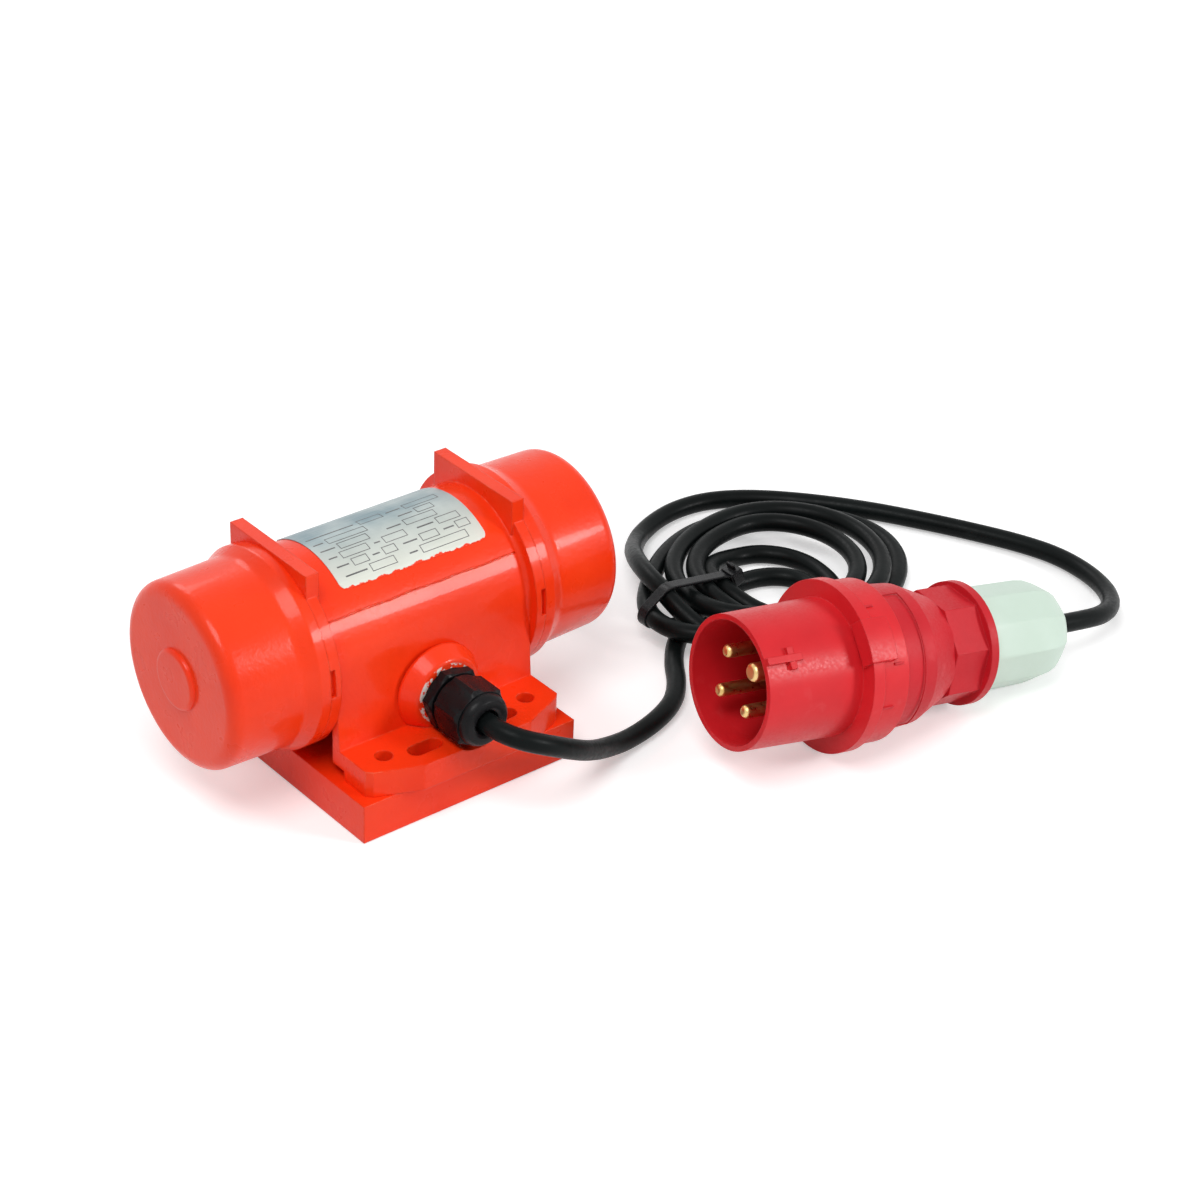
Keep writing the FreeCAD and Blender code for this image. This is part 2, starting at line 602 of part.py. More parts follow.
def bearing_shield(side, label):
    """The cover that carries a bearing and closes the motor's end."""
    outer = "shield_bore - shield_clearance"
    plate = "shield_radius - shield_clearance"
    corners = [("hub_start", "lip_bore"), ("hub_start", "hub_radius"), ("web_start", "hub_radius"),
               ("web_start", "rim_bore"), ("hub_start", "rim_bore"), ("hub_start", outer),
               ("shield_step", outer), ("shield_step", plate), ("seam", plate),
               ("seam", "bearing_radius"), ("bearing_start", "bearing_radius"),
               ("bearing_start", "lip_bore")]
    cover = revolved(f"shield_{label}", corners, on_shaft(side))
    holes = [rod(f"shield_hole_{label}_{index}", "shield_screw_radius", "shield_step", "seam",
                 turned_about_shaft(angle, side), up=value("shield_screw_circle"))
             for index, angle in enumerate(screw_angles())]
    keep(f"bearing_shield_{label}", without(f"shield_drilled_{label}", cover, holes))


def shield_screws():
    screws = []
    for side in (-1, 1):
        for index, angle in enumerate(screw_angles()):
            frame = turned_about_shaft(angle, side)
            up = value("shield_screw_circle")
            shank = rod(f"shield_shank_{side}_{index}", "shield_screw_radius",
                        "shield_step - shield_screw_reach", "seam", frame, up=up)
            head = rod(f"shield_head_{side}_{index}", "shield_head_radius", "seam",
                       "seam + shield_head_height", frame, up=up)
            screws.append(fused(f"shield_screw_{side}_{index}", [shank, head]))
    keep("shield_screws", grouped("shield_screw_group", screws))


# ---------------------------------------------------------------- eccentric weights
FIXED_START = "spacer_end"
DIAL_START = "spacer_end + weight_thick"
ADJUST_START = "spacer_end + weight_thick + dial_thick + weight_gap"
CLIP_START = "spacer_end + 2 * weight_thick + dial_thick + weight_gap + clip_gap"


def weight(name, start, bore, place):
    """A half-round weight hanging under a hub that a screw clamps on the shaft."""
    end = f"{start} + weight_thick"
    disc = rod(name + "_disc", "weight_radius", start, end, place)
    lower = block(name + "_lower", (start, "-weight_radius", "-weight_radius"),
                  (end, "weight_radius", "-weight_drop"), place)
    hub = rod(name + "_hub", "weight_hub", start, end, place)
    ears = block(name + "_ears", (start, "-clamp_half_width", "0"),
                 (end, "clamp_half_width", "clamp_rise"), place)
    blank = fused(name + "_blank", [shared(name + "_lobe", disc, lower), hub, ears])
    hole = rod(name + "_bore", bore, start, end, place)
    slit = block(name + "_slit", (start, "-clamp_slit", "0"), (end, "clamp_slit", "clamp_rise"), place)
    return without(name, blank, [hole, slit, clamp_screw(name + "_tap", start, place)])


def clamp_screw(name, start, place):
    """A screw across the hub's ears; its head lies in a spot face."""
    along = value(f"{start} + weight_thick / 2")
    rise = value("clamp_screw_rise")
    across = value("clamp_half_width")
    turn = Rotation(X_AXIS, -90)
    shank = primitive("Cylinder", name + "_shank", place, Vector(along, -across, rise), turn,
                      Radius="clamp_screw_radius", Height="2 * clamp_half_width")
    head = primitive("Cylinder", name + "_head", place, Vector(along, across, rise), turn,
                     Radius="clamp_head_radius", Height="clamp_head_height")
    return fused(name, [shank, head])


def washer(name, radius, start, thick, place):
    """A flat ring on the shaft's end."""
    outer = rod(name + "_disc", radius, start, f"{start} + {thick}", place)
    hole = rod(name + "_hole", "shaft_end_radius", start, f"{start} + {thick}", place)
    return without(name, outer, [hole])


def weights(side, label):
    """The fixed weight, the graduated dial and the adjustable weight of one shaft end."""
    place = on_shaft(side)
    keep(f"fixed_weight_{label}", weight(f"fixed_{label}", FIXED_START, "shaft_end_radius", place))
    keep(f"dial_{label}", washer(f"dial_disc_{label}", "dial_radius", DIAL_START, "dial_thick", place))
    keep(f"adjustable_weight_{label}",
         weight(f"adjust_{label}", ADJUST_START, "shaft_end_radius + turning_clearance", place))
    keep(f"fixed_clamp_screw_{label}", clamp_screw(f"fixed_clamp_{label}", FIXED_START, place))
    keep(f"adjustable_clamp_screw_{label}", clamp_screw(f"adjust_clamp_{label}", ADJUST_START, place))


def spacers_and_clips():
    spacers = []
    clips = []
    for side in (-1, 1):
        place = on_shaft(side)
        spacers.append(washer(f"spacer_{side}", "spacer_radius", "journal_end",
                              "(spacer_end - journal_end)", place))
        clips.append(washer(f"clip_{side}", "clip_radius", CLIP_START, "clip_thick", place))
    keep("shaft_spacers", grouped("spacer_group", spacers))
    keep("shaft_clips", grouped("clip_group", clips))


# ---------------------------------------------------------------- end caps
def end_cap(side, label):
    """A deep cap over the weights, pushed on the casting's spout."""
    inner = "cap_radius - cap_wall"
    corners = [("seam", "cap_bore"), ("seam", "flange_radius"), ("cap_rim_end", "flange_radius"),
               ("cap_neck", "cap_neck_radius"), ("cap_end", "cap_radius"),
               ("cap_end", "cap_nose_radius"), ("cap_end + cap_nose", "cap_nose_radius"),
               ("cap_end + cap_nose", "0"), ("cap_end - cap_wall", "0"), ("cap_end - cap_wall", inner),
               ("cap_step", inner), ("cap_step", "cap_bore")]
    cap = revolved(f"cap_{label}", corners, on_shaft(side))
    rounded(cap, "cap_round", ring_edge("cap_end", "cap_radius"))
    rounded(cap, "cap_round - cap_wall", ring_edge("cap_end - cap_wall", inner))
    rounded(cap, "cap_nose * 0.85", ring_edge("cap_end + cap_nose", "cap_nose_radius"))
    rounded(cap, "cap_round", ring_edge("cap_neck", "cap_neck_radius"))
    rounded(cap, "cap_round / 4", ring_edge("cap_rim_end", "flange_radius"))
    keep(f"end_cap_{label}", cap)
    middle = Vector(value("(spout_end + cap_step) / 2"), 0, 0)
    keep(f"cap_seal_{label}", primitive("Torus", f"seal_{label}", on_shaft(side), middle,
                                        Rotation(Y_AXIS, 90), Radius1="seal_circle",
                                        Radius2="seal_radius"))


# ---------------------------------------------------------------- cable gland
def gland():
    """A plastic gland in three pieces: the body, the rubber ring and the domed nut."""
    turn = value("gland_turn")
    base = polygon_bar("gland_hexagon", 6, "gland_flat", "boss_face", "gland_base_end", GLAND, turn)
    inner_thread = rod("gland_inner_thread", "gland_thread", "gland_inner_end", "boss_face", GLAND)
    outer_thread = rod("gland_outer_thread", "gland_thread", "gland_base_end", "gland_neck_end", GLAND)
    bore = rod("gland_body_bore", "gland_bore", "gland_inner_end", "gland_neck_end", GLAND)
    keep("gland_body", without("gland_body_bored", fused("gland_blank", [base, inner_thread, outer_thread]),
                               [bore]))
    ring = rod("gland_ring", "gland_bore", "gland_seal_start", "gland_neck_end", GLAND)
    hole = rod("gland_ring_hole", "cable_radius", "gland_seal_start", "gland_neck_end", GLAND)
    keep("gland_seal", without("gland_ring_bored", ring, [hole]))
    collar = polygon_bar("gland_nut_hexagon", 6, "gland_flat", "gland_nut_start", "gland_nut_end", GLAND,
                         turn)
    dome = revolved("gland_dome", [("gland_nut_end", "0"), ("gland_nut_end", "gland_nose_radius"),
                                   ("gland_nose_end", "gland_nose_radius"), ("gland_nose_end", "0")], GLAND)
    rounded(dome, "gland_nose_radius - gland_mouth", ring_edge("gland_nose_end", "gland_nose_radius"))
    cavity = rod("gland_nut_cavity", "gland_thread", "gland_nut_start", "gland_neck_end", GLAND)
    mouth = rod("gland_nut_mouth", "cable_radius", "gland_neck_end", "gland_nose_end", GLAND)
    keep("gland_nut", without("gland_nut_bored", fused("gland_nut_blank", [collar, dome]),
                              [cavity, mouth]))


# ---------------------------------------------------------------- cable
def cord(name, points, radius):
    """A round tube along straight runs joined by the largest arcs that the runs allow."""
    corners = [Vector(*point) for point in points]
    edges = []
    begin = corners[0]
    length = 0.0
    radii = []
    for before, corner, after in zip(corners, corners[1:], corners[2:]):
        incoming = (corner - before).normalize()
        outgoing = (after - corner).normalize()
        half_turn = incoming.getAngle(outgoing) / 2
        trim = 0.45 * min((corner - before).Length, (after - corner).Length)
        bend = trim / math.tan(half_turn)
        radii.append(bend)
        first = corner - incoming * trim
        last = corner + outgoing * trim
        towards = (outgoing - incoming).normalize()
        middle = corner + towards * (bend / math.cos(half_turn) - bend)
        edges.append(Part.LineSegment(begin, first).toShape())
        edges.append(Part.Arc(first, middle, last).toShape())
        length += (first - begin).Length + 2 * half_turn * bend
        begin = last
    edges.append(Part.LineSegment(begin, corners[-1]).toShape())
    length += (corners[-1] - begin).Length
    start_direction = (corners[1] - corners[0]).normalize()
    ring = Part.Wire([Part.makeCircle(radius, corners[0], start_direction)])
    tube = Part.Wire(edges).makePipeShell([ring], True, False)
    expected = math.pi * radius ** 2 * length
    if abs(tube.Volume / expected - 1) > 0.01:
        raise ValueError(f"{name}: volume {tube.Volume:.0f}, expected {expected:.0f}")
    print(f"{name}: length {length:.0f} mm, radii", " ".join(f"{bend:.0f}" for bend in radii))
    return tube


def along_gland(distance):
    return GLAND.multVec(Vector(distance, 0, 0))


def along_plug(distance):
    return PLUG.multVec(Vector(distance, 0, 0))


# Route points of the two free stretches, from the gland to the coil and from the coil to the plug.
FLOOR_LEVEL = value("cable_radius + floor_clearance")
LEAD_ROUTE = [
    (5, -78, 34.5), (15, -81, 30), (27, -79, 22.5), (39, -74, 14.5), (52, -68, 7.5),
    (65, -64.5, FLOOR_LEVEL), (80, -61.5, FLOOR_LEVEL), (94, -55.5, FLOOR_LEVEL),
    (104, -46, FLOOR_LEVEL), (111.5, -35, FLOOR_LEVEL), (121, -25, FLOOR_LEVEL)]
TAIL_ROUTE = [
    (128, 9, 14), (134.5, 20.5, 10.5), (142.5, 30.5, 7.2), (152, 39.5, 4.8),
    (163, 46.5, FLOOR_LEVEL), (176, 52, FLOOR_LEVEL), (190, 54.4, FLOOR_LEVEL),
    (205.5, 52.2, FLOOR_LEVEL), (221.5, 43, FLOOR_LEVEL), (238, 27, FLOOR_LEVEL),
    (254, 7, FLOOR_LEVEL), (267, -14, FLOOR_LEVEL), (277, -32, FLOOR_LEVEL), (285.3, -48.8, FLOOR_LEVEL),
    (290.4, -64.3, FLOOR_LEVEL), (290.6, -80.6, FLOOR_LEVEL), (285.1, -95.9, 5.2),
    (274.9, -108.3, 8), (261.3, -116, 11.2)]


def supply_leads():
    """Four thin insulated wires from the cable's inner end through the duct to the windings."""
    frame = turned_about_shaft(value("duct_turn"))
    wires = []
    for index in range(4):
        across = value("wire_spacing") * (index - 1.5)
        start = along_gland(value("stub_start")) + Vector(across, 0, 0)
        duct_level = [frame.multVec(Vector(east, -value("wire_level"), across))
                      for east in (across + value("wire_shift"), value("wire_end"))]
        points = [start, start + Vector(0, value("wire_exit"), 0), *duct_level]
        wires.append(solid(f"wire_{index}", cord(f"wire_{index}", points, value("wire_radius"))))
    keep("supply_leads", grouped("wire_group", wires))


def tie_bundle():
    """The taller bundle of strands that the tie holds together."""
    start, length = value("bundle_start"), value("bundle_length")
    corner = Vector(start, value("tie_middle") - length / 2, 0)
    bundle = Part.makeBox(value("bundle_end") - start, length, value("bundle_height"), corner)
    top = [edge for edge in bundle.Edges if edge.BoundBox.ZMax > 0.01]
    return bundle.makeFillet(value("bundle_round"), top)


def coil_ring():
    """The room that the coiled turns take up: an oval ring on the floor with a bundle at the tie."""
    outlines = (("coil_middle_x", "coil_middle_y", "coil_half_length", "coil_half_width"),
                ("coil_hole_x", "coil_hole_y", "coil_hole_half_length", "coil_hole_half_width"))
    height = Vector(0, 0, value("coil_height"))
    ovals = []
    for east, north, half_length, half_width in outlines:
        centre = Vector(value(east), value(north), 0)
        curve = Part.Ellipse(centre, value(half_length), value(half_width))
        ovals.append(Part.Face(Part.Wire([curve.toShape()])).extrude(height))
    ring = ovals[0].cut(ovals[1])
    rims = [edge for edge in ring.Edges if edge.BoundBox.ZMax - edge.BoundBox.ZMin < 0.01]
    return ring.makeFillet(value("coil_round"), rims).fuse(tie_bundle()).Solids[0]


def tie_band():
    """The strap's loop around the bundle, without its head."""
    thick, width, proud = value("tie_thick"), value("tie_width"), value("tie_proud")
    start, end = value("bundle_start - tie_proud"), value("bundle_end + tie_proud")
    height = value("bundle_height + tie_proud")
    south = value("tie_middle") - width / 2
    outside = Part.makeBox(end - start, width, height, Vector(start, south, 0))
    inside = Part.makeBox(end - start - 2 * thick, width, height - 2 * thick,
                          Vector(start + thick, south, thick))
    rounding = value("bundle_round") + proud
    corners = [[edge for edge in box.Edges
                if edge.BoundBox.YLength > width / 2 and edge.BoundBox.ZMax > height / 2]
               for box in (outside, inside)]
    return outside.makeFillet(rounding, corners[0]).cut(inside.makeFillet(rounding - thick, corners[1]))


def cable():
    """The cable in plain solids: stubs in gland and plug, the lead, the coil, the tail, the tie."""
    radius = value("cable_radius")
    gland_stub = rod("gland_stub", "cable_radius", "stub_start", "gland_nose_end", GLAND)
    plug_stub = rod("plug_stub", "cable_radius", "taper_end", "nut_end", PLUG)
    keep("cable_gland_stub", gland_stub)
    keep("cable_plug_stub", plug_stub)
    doc.recompute()
    band = tie_band()
    ring = coil_ring()
    head = Part.makeBox(value("head_height"), value("head_size"), value("head_size"),
                        Vector(band.BoundBox.XMax, value("tie_middle - head_size / 2"), value("head_level")))
    tie = band.fuse(head).removeSplitter()
    keep("cable_tie", solid("tie", tie))
    keep("cable_coil", solid("coil", ring.cut(tie)))
    nose = value("gland_nose_end")
    lead = cord("cable_lead", [along_gland(nose), along_gland(nose + value("lead_exit")), *LEAD_ROUTE],
                radius)
    keep("cable_lead", solid("lead", lead.cut([ring, gland_stub.Shape, finished["gland_nut"].Shape])))
    nut_face = value("nut_end")
    tail = cord("cable_tail", [*TAIL_ROUTE, along_plug(nut_face + value("tail_exit")), along_plug(nut_face)],
                radius)
    keep("cable_tail", solid("tail", tail.cut([ring, plug_stub.Shape, finished["plug_nut"].Shape])))


# ---------------------------------------------------------------- plug
def plug_front():
    """The shroud around the pins with its key, and the wide collar with the latch tab."""
    corners = [("-shroud_reach", "shroud_bore"), ("-shroud_reach", "shroud_radius"), ("0", "shroud_root"),
               ("0", "collar_radius"), ("collar_end", "collar_radius"), ("collar_end", "sleeve_radius"),
               ("sleeve_end", "sleeve_radius"), ("sleeve_end", "shroud_bore")]
    shell = revolved("plug_shell", corners, PLUG)
    rib = block("plug_rib", ("-shroud_reach", "-rib_half_width", "shroud_middle"),
                ("rib_end", "rib_half_width", "shroud_radius + rib_rise"), PLUG)
    stop = block("plug_stop", ("stop_start", "-stop_half_width", "shroud_middle"),
                 ("stop_end", "stop_half_width", "shroud_radius + stop_rise"), PLUG)
    latch_disc = rod("latch_disc", "collar_radius + latch_rise", "latch_front", "latch_end", PLUG)
    latch_room = block("latch_room", ("latch_front", "-latch_half_width", "latch_root"),
                       ("latch_end", "latch_half_width", "collar_radius + latch_rise"), PLUG)
    latch = shared("plug_latch", latch_disc, latch_room)
    keep("plug_front", fused("plug_front_whole", [shell, rib, stop, latch]))


def pin_frames():
    """The four pin places around the plug's axis, the earth pin's first, in line with the key."""
    return [PLUG.multiply(Placement(Vector(), Rotation(X_AXIS, 90 * step))) for step in range(4)]


def terminal_screw(name, frame):
    """A small screw pressing into the pin's terminal from outside."""
    level = "pin_circle + terminal_radius"
    return upright(name, "terminal_screw_radius", f"{level} - terminal_screw_grip",
                   f"{level} + terminal_screw_rise", value("(sleeve_end + terminal_end) / 2"), 0, frame)


def pin(name, radius, frame):
    """A round contact pin with a terminal behind the insert."""
    corners = [("pin_tip", "0"), ("pin_tip", radius), ("sleeve_end", radius),
               ("sleeve_end", "terminal_radius"), ("terminal_end", "terminal_radius"),
               ("terminal_end", "0")]
    place = frame.multiply(Placement(Vector(0, 0, value("pin_circle")), Rotation()))
    body = rounded(revolved(name, corners, place), "pin_round", ring_edge("pin_tip", radius))
    return without(name + "_tapped", body, [terminal_screw(name + "_tap", frame)])


def plug_contacts():
    """The insert with its earth pin and three phase pins, and their terminal screws."""
    earth, *phases = pin_frames()
    keep("earth_pin", pin("pin_earth", "earth_radius", earth))
    keep("phase_pins", grouped("pin_group", [pin(f"pin_phase_{index}", "phase_radius", frame)
                                             for index, frame in enumerate(phases)]))
    disc = rod("insert_disc", "shroud_bore - shell_clearance", "insert_front", "sleeve_end", PLUG)
    holes = [rod(f"insert_hole_{index}", "earth_radius" if index == 0 else "phase_radius",
                 "insert_front", "sleeve_end", frame, up=value("pin_circle"))
             for index, frame in enumerate(pin_frames())]
    keep("plug_insert", without("insert_pierced", disc, holes))
    screws = [terminal_screw(f"terminal_screw_{index}", frame)
              for index, frame in enumerate(pin_frames())]
    keep("terminal_screws", grouped("terminal_screw_group", screws))


def plug_housing():
    """The tapered rear shell with its eight-sided neck and the round disc behind it."""
    inner_radius = "neck_radius - 2 * housing_wall"
    corners = [("sleeve_end", "housing_radius"), ("housing_end", "housing_end_radius"),
               ("taper_end", "neck_radius"), ("neck_end", "neck_radius"), ("neck_end", "disc_radius"),
               ("disc_end", "disc_radius"), ("disc_end", inner_radius), ("taper_end", inner_radius),
               ("housing_end", "housing_end_radius - housing_wall"),
               ("sleeve_end", "housing_radius - housing_wall")]
    shell = revolved("housing_shell", corners, PLUG)
    neck = polygon_bar("housing_neck", 8, "neck_flat", "neck_start", "neck_end", PLUG,
                       value("neck_turn"))
    hollow = rod("housing_neck_hole", "neck_radius - housing_wall", "neck_start", "neck_end", PLUG)
    keep("plug_housing", fused("housing_whole", [shell, without("neck_ring", neck, [hollow])]))


def plug_nut():
    """The domed nut that grips the cable, and the rubber ring inside it."""
    corners = [("disc_end", "nut_bore"), ("disc_end", "nut_radius"), ("nut_end", "nut_end_radius"),
               ("nut_end", "cable_radius"), ("nut_cavity_end", "cable_radius"),
               ("plug_seal_end", "nut_bore")]
    nut = revolved("nut", corners, PLUG)
    keep("plug_nut", rounded(nut, "nut_round", ring_edge("nut_end", "nut_end_radius")))
    ring = rod("plug_ring", "nut_bore", "plug_seal_start", "plug_seal_end", PLUG)
    hole = rod("plug_ring_hole", "cable_radius", "plug_seal_start", "plug_seal_end", PLUG)
    keep("plug_seal", without("plug_ring_bored", ring, [hole]))


# ---------------------------------------------------------------- the whole motor
def build():
    base_plate()
    plate_screws()
    body_casting()
    nameplate()
    stator_core()
    stator_windings()
    supply_leads()
    rotor_core()
    rotor_cage()
    shaft()
    shield_screws()
    spacers_and_clips()
    for side, label in ((-1, "left"), (1, "right")):
        bearing(side, label)
        bearing_shield(side, label)
        weights(side, label)
        end_cap(side, label)
    gland()
    plug_front()
    plug_contacts()
    plug_housing()
    plug_nut()
    cable()


def check():
    """Every object has to be up to date, and every sub-part a valid closed shape."""
    doc.recompute()
    for thing in doc.Objects:
        if {"Invalid", "Error"} & set(thing.State):
            raise ValueError(f"{thing.Name}: {thing.State}")
    for label, thing in finished.items():
        shape = thing.Shape
        if shape.isNull() or not shape.isValid() or not shape.Solids:
            raise ValueError(label + " has no valid solid")
        print(f"{label:28s} solids {len(shape.Solids)}  volume {shape.Volume:10.1f}")


def export():
    os.makedirs("parts", exist_ok=True)
    for label, thing in finished.items():
        thing.Shape.exportStep(f"parts/{label}.step")
    print(len(finished), "nodes")


build()
check()
export()
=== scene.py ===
"""Scene of the vibration motor: camera, light, free cable with its tie, details, finishes."""
import json
import math

import bmesh
import bpy
from mathutils import Matrix, Vector


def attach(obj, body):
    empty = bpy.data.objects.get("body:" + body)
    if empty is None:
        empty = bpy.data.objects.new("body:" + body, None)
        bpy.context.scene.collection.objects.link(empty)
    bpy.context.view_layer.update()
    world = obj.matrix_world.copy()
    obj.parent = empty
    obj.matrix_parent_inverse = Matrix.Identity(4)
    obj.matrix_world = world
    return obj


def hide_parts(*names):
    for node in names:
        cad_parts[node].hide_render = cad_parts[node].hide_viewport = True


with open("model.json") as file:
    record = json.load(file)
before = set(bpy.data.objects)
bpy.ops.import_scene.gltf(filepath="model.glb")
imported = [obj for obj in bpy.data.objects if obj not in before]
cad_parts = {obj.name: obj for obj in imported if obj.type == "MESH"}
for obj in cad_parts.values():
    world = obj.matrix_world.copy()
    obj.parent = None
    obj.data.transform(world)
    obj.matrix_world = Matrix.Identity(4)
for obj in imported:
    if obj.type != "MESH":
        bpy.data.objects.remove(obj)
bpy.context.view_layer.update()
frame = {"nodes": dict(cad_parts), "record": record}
bpy.context.scene.view_settings.view_transform = "Standard"

# Pieces are made in mm; camera, lamps, floor and finishes are in metres.
MM = 0.001
UP = Vector((0, 0, 1))
SHAFT_HEIGHT = 52.9
GLAND_HEIGHT = 36.3
CABLE_RADIUS = 3.75


def link(name, data):
    thing = bpy.data.objects.new(name, data)
    bpy.context.scene.collection.objects.link(thing)
    return thing


# ---------------------------------------------------------------- camera
# Solved from the circles of the motor and the plug in the photograph.
CAMERA_PLACE = Vector((-0.52895, -0.73712, 0.60652))
CAMERA_AZIMUTH = math.radians(-40.638)
CAMERA_DROP = math.radians(31.236)
CAMERA_ROLL = math.radians(2.444)
CAMERA_LENS, CAMERA_SENSOR = 89.32, 36.0
CAMERA_NEAR, CAMERA_FAR = 0.05, 20


def make_camera():
    data = bpy.data.cameras.new("camera")
    data.lens, data.sensor_width = CAMERA_LENS, CAMERA_SENSOR
    data.clip_start, data.clip_end = CAMERA_NEAR, CAMERA_FAR
    camera = link("camera", data)
    level = math.cos(CAMERA_DROP)
    ahead = Vector((-math.sin(CAMERA_AZIMUTH) * level, math.cos(CAMERA_AZIMUTH) * level,
                    -math.sin(CAMERA_DROP)))
    right = ahead.cross(UP).normalized()
    up = right.cross(ahead)
    turned_right = right * math.cos(CAMERA_ROLL) + up * math.sin(CAMERA_ROLL)
    turned_up = up * math.cos(CAMERA_ROLL) - right * math.sin(CAMERA_ROLL)
    pose = Matrix((turned_right, turned_up, -ahead)).transposed().to_4x4()
    camera.matrix_world = Matrix.Translation(CAMERA_PLACE) @ pose
    bpy.context.scene.camera = camera


# ---------------------------------------------------------------- the cable
FLOOR_LEVEL = 3.8
# From the gland's nose to the coil.
LEAD = [
    (0, -64.6, GLAND_HEIGHT), (0, -70.4, GLAND_HEIGHT), (5, -78, 34.5), (15, -81, 30),
    (27, -79, 22.5), (39, -74, 14.5), (52, -68, 7.5), (65, -64.5, FLOOR_LEVEL),
    (80, -61.5, FLOOR_LEVEL), (94, -55.5, FLOOR_LEVEL), (104, -46, FLOOR_LEVEL),
    (111.5, -35, FLOOR_LEVEL), (121, -25, FLOOR_LEVEL), (132.5, -17.5, 4.6),
    (145.5, -11.5, 5.1), (158, -7, 4.2)]
# The coiled turns, one after the other: the points where each turn is farthest from the viewer's
# side, farthest right, nearest and farthest left.
TURNS = [
    ("far", 171, -5, FLOOR_LEVEL), ("right", 193, -21, FLOOR_LEVEL),
    ("near", 173, -39, FLOOR_LEVEL), ("left", 154, -14, 12.4),
    ("far", 182, 11, FLOOR_LEVEL), ("right", 204, -14, FLOOR_LEVEL),
    ("near", 175, -47, FLOOR_LEVEL), ("left", 145.2, -18, 13.2),
    ("far", 190, 19.5, 11.6), ("right", 217.5, -12, 11.5),
    ("near", 177, -48.5, 13), ("left", 136.8, -16, 12.6),
    ("far", 192, 28, 11.5), ("right", 230, -11, 11.5), ("near", 178, -55.8, 12.4)]
# The last turn lies farther out on the left, then goes down to the floor round the others.
LAST_TURN = [
    (161, -56, 12.4), (144.5, -50.5, 12.4), (130.5, -41.5, 12), (120, -30.5, 11.6),
    (117, -18.5, 11.6), (121, -7, 11.2), (130, 3, 10.6), (141, 12.5, 9.8), (153.5, 21.5, 8.6),
    (168, 29.5, 6.8), (184.5, 34.5, 5), (202, 34, FLOOR_LEVEL), (219, 28, FLOOR_LEVEL),
    (233, 17, FLOOR_LEVEL), (241.5, 3, FLOOR_LEVEL), (243, -12, FLOOR_LEVEL),
    (238, -26.5, FLOOR_LEVEL), (226.5, -39, FLOOR_LEVEL), (210, -48, FLOOR_LEVEL),
    (191, -53, FLOOR_LEVEL)]
# Over the coil's left side, round behind it, and up into the plug's nut.
TAIL = [
    (172.5, -55.5, FLOOR_LEVEL), (156.5, -54, FLOOR_LEVEL), (144.5, -47.5, 4.2),
    (135.5, -38, 5), (130, -28, 9.5), (127, -18, 14.5), (127.5, -8, 18), (129.5, 2.5, 18.6),
    (133.8, 12.5, 17), (139.6, 21.8, 13.8), (146.5, 30.8, 9.8), (154.3, 39, 6),
    (163, 46.5, FLOOR_LEVEL), (176, 52, FLOOR_LEVEL), (190, 54.4, FLOOR_LEVEL),
    (205.5, 52.2, FLOOR_LEVEL), (221.5, 43, FLOOR_LEVEL), (238, 27, FLOOR_LEVEL),
    (254, 7, FLOOR_LEVEL), (267, -14, FLOOR_LEVEL), (277, -32, FLOOR_LEVEL),
    (285.3, -48.8, FLOOR_LEVEL), (290.4, -64.3, FLOOR_LEVEL), (290.6, -80.6, FLOOR_LEVEL),
    (285.1, -95.9, 5.2), (274.9, -108.3, 8), (261.3, -116, 11.8),
    (245.86, -117.76, 15.58), (230.63, -115.71, 17.65)]
POINTS_PER_QUARTER = 3
# The power of the share of a quarter at which a strand climbs: it climbs late.
CLIMB = 1.5
STEPS_BETWEEN_POINTS, ROUNDNESS = 10, 6


def coil_points():
    """Quarter ellipses from each extreme point of the turns to the next."""
    points = []
    for (kind, x0, y0, z0), (_, x1, y1, z1) in zip(TURNS, TURNS[1:]):
        centre_x, centre_y = (x0, y1) if kind in ("far", "near") else (x1, y0)
        for step in range(POINTS_PER_QUARTER):
            share = step / POINTS_PER_QUARTER
            start, end = math.cos(share * math.pi / 2), math.sin(share * math.pi / 2)
            points.append((centre_x + (x0 - centre_x) * start + (x1 - centre_x) * end,
                           centre_y + (y0 - centre_y) * start + (y1 - centre_y) * end,
                           z0 + (z1 - z0) * share ** CLIMB))
    points.append(TURNS[-1][1:])
    return points + LAST_TURN


def make_cable():
    """The cable's curve, and the points of its centreline in mm."""
    curve = bpy.data.curves.new("cable", "CURVE")
    curve.dimensions = "3D"
    spline = curve.splines.new("NURBS")
    route = LEAD + coil_points() + TAIL
    spline.points.add(len(route) - 1)
    for point, place in zip(spline.points, route):
        point.co = (*(Vector(place) * MM), 1)
    spline.order_u = 3
    spline.use_endpoint_u = True
    curve.resolution_u = STEPS_BETWEEN_POINTS
    line = link("cable_line", curve)
    bpy.context.view_layer.update()
    mesh = bpy.data.meshes.new_from_object(line)
    centreline = [vertex.co / MM for vertex in mesh.vertices]
    bpy.data.meshes.remove(mesh)
    line.name = "cable"
    curve.bevel_depth = CABLE_RADIUS * MM
    curve.bevel_resolution = ROUNDNESS
    return line, centreline


# ---------------------------------------------------------------- mesh helpers
def mesh_piece(name, work, smooth=True):
    """Turns a bmesh in mm into a piece that rides on the housing."""
    bmesh.ops.recalc_face_normals(work, faces=work.faces)
    bmesh.ops.scale(work, vec=(MM, MM, MM), verts=work.verts)
    mesh = bpy.data.meshes.new(name)
    work.to_mesh(mesh)
    work.free()
    for face in mesh.polygons:
        face.use_smooth = smooth
    piece = link(name, mesh)
    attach(piece, "housing")
    return piece


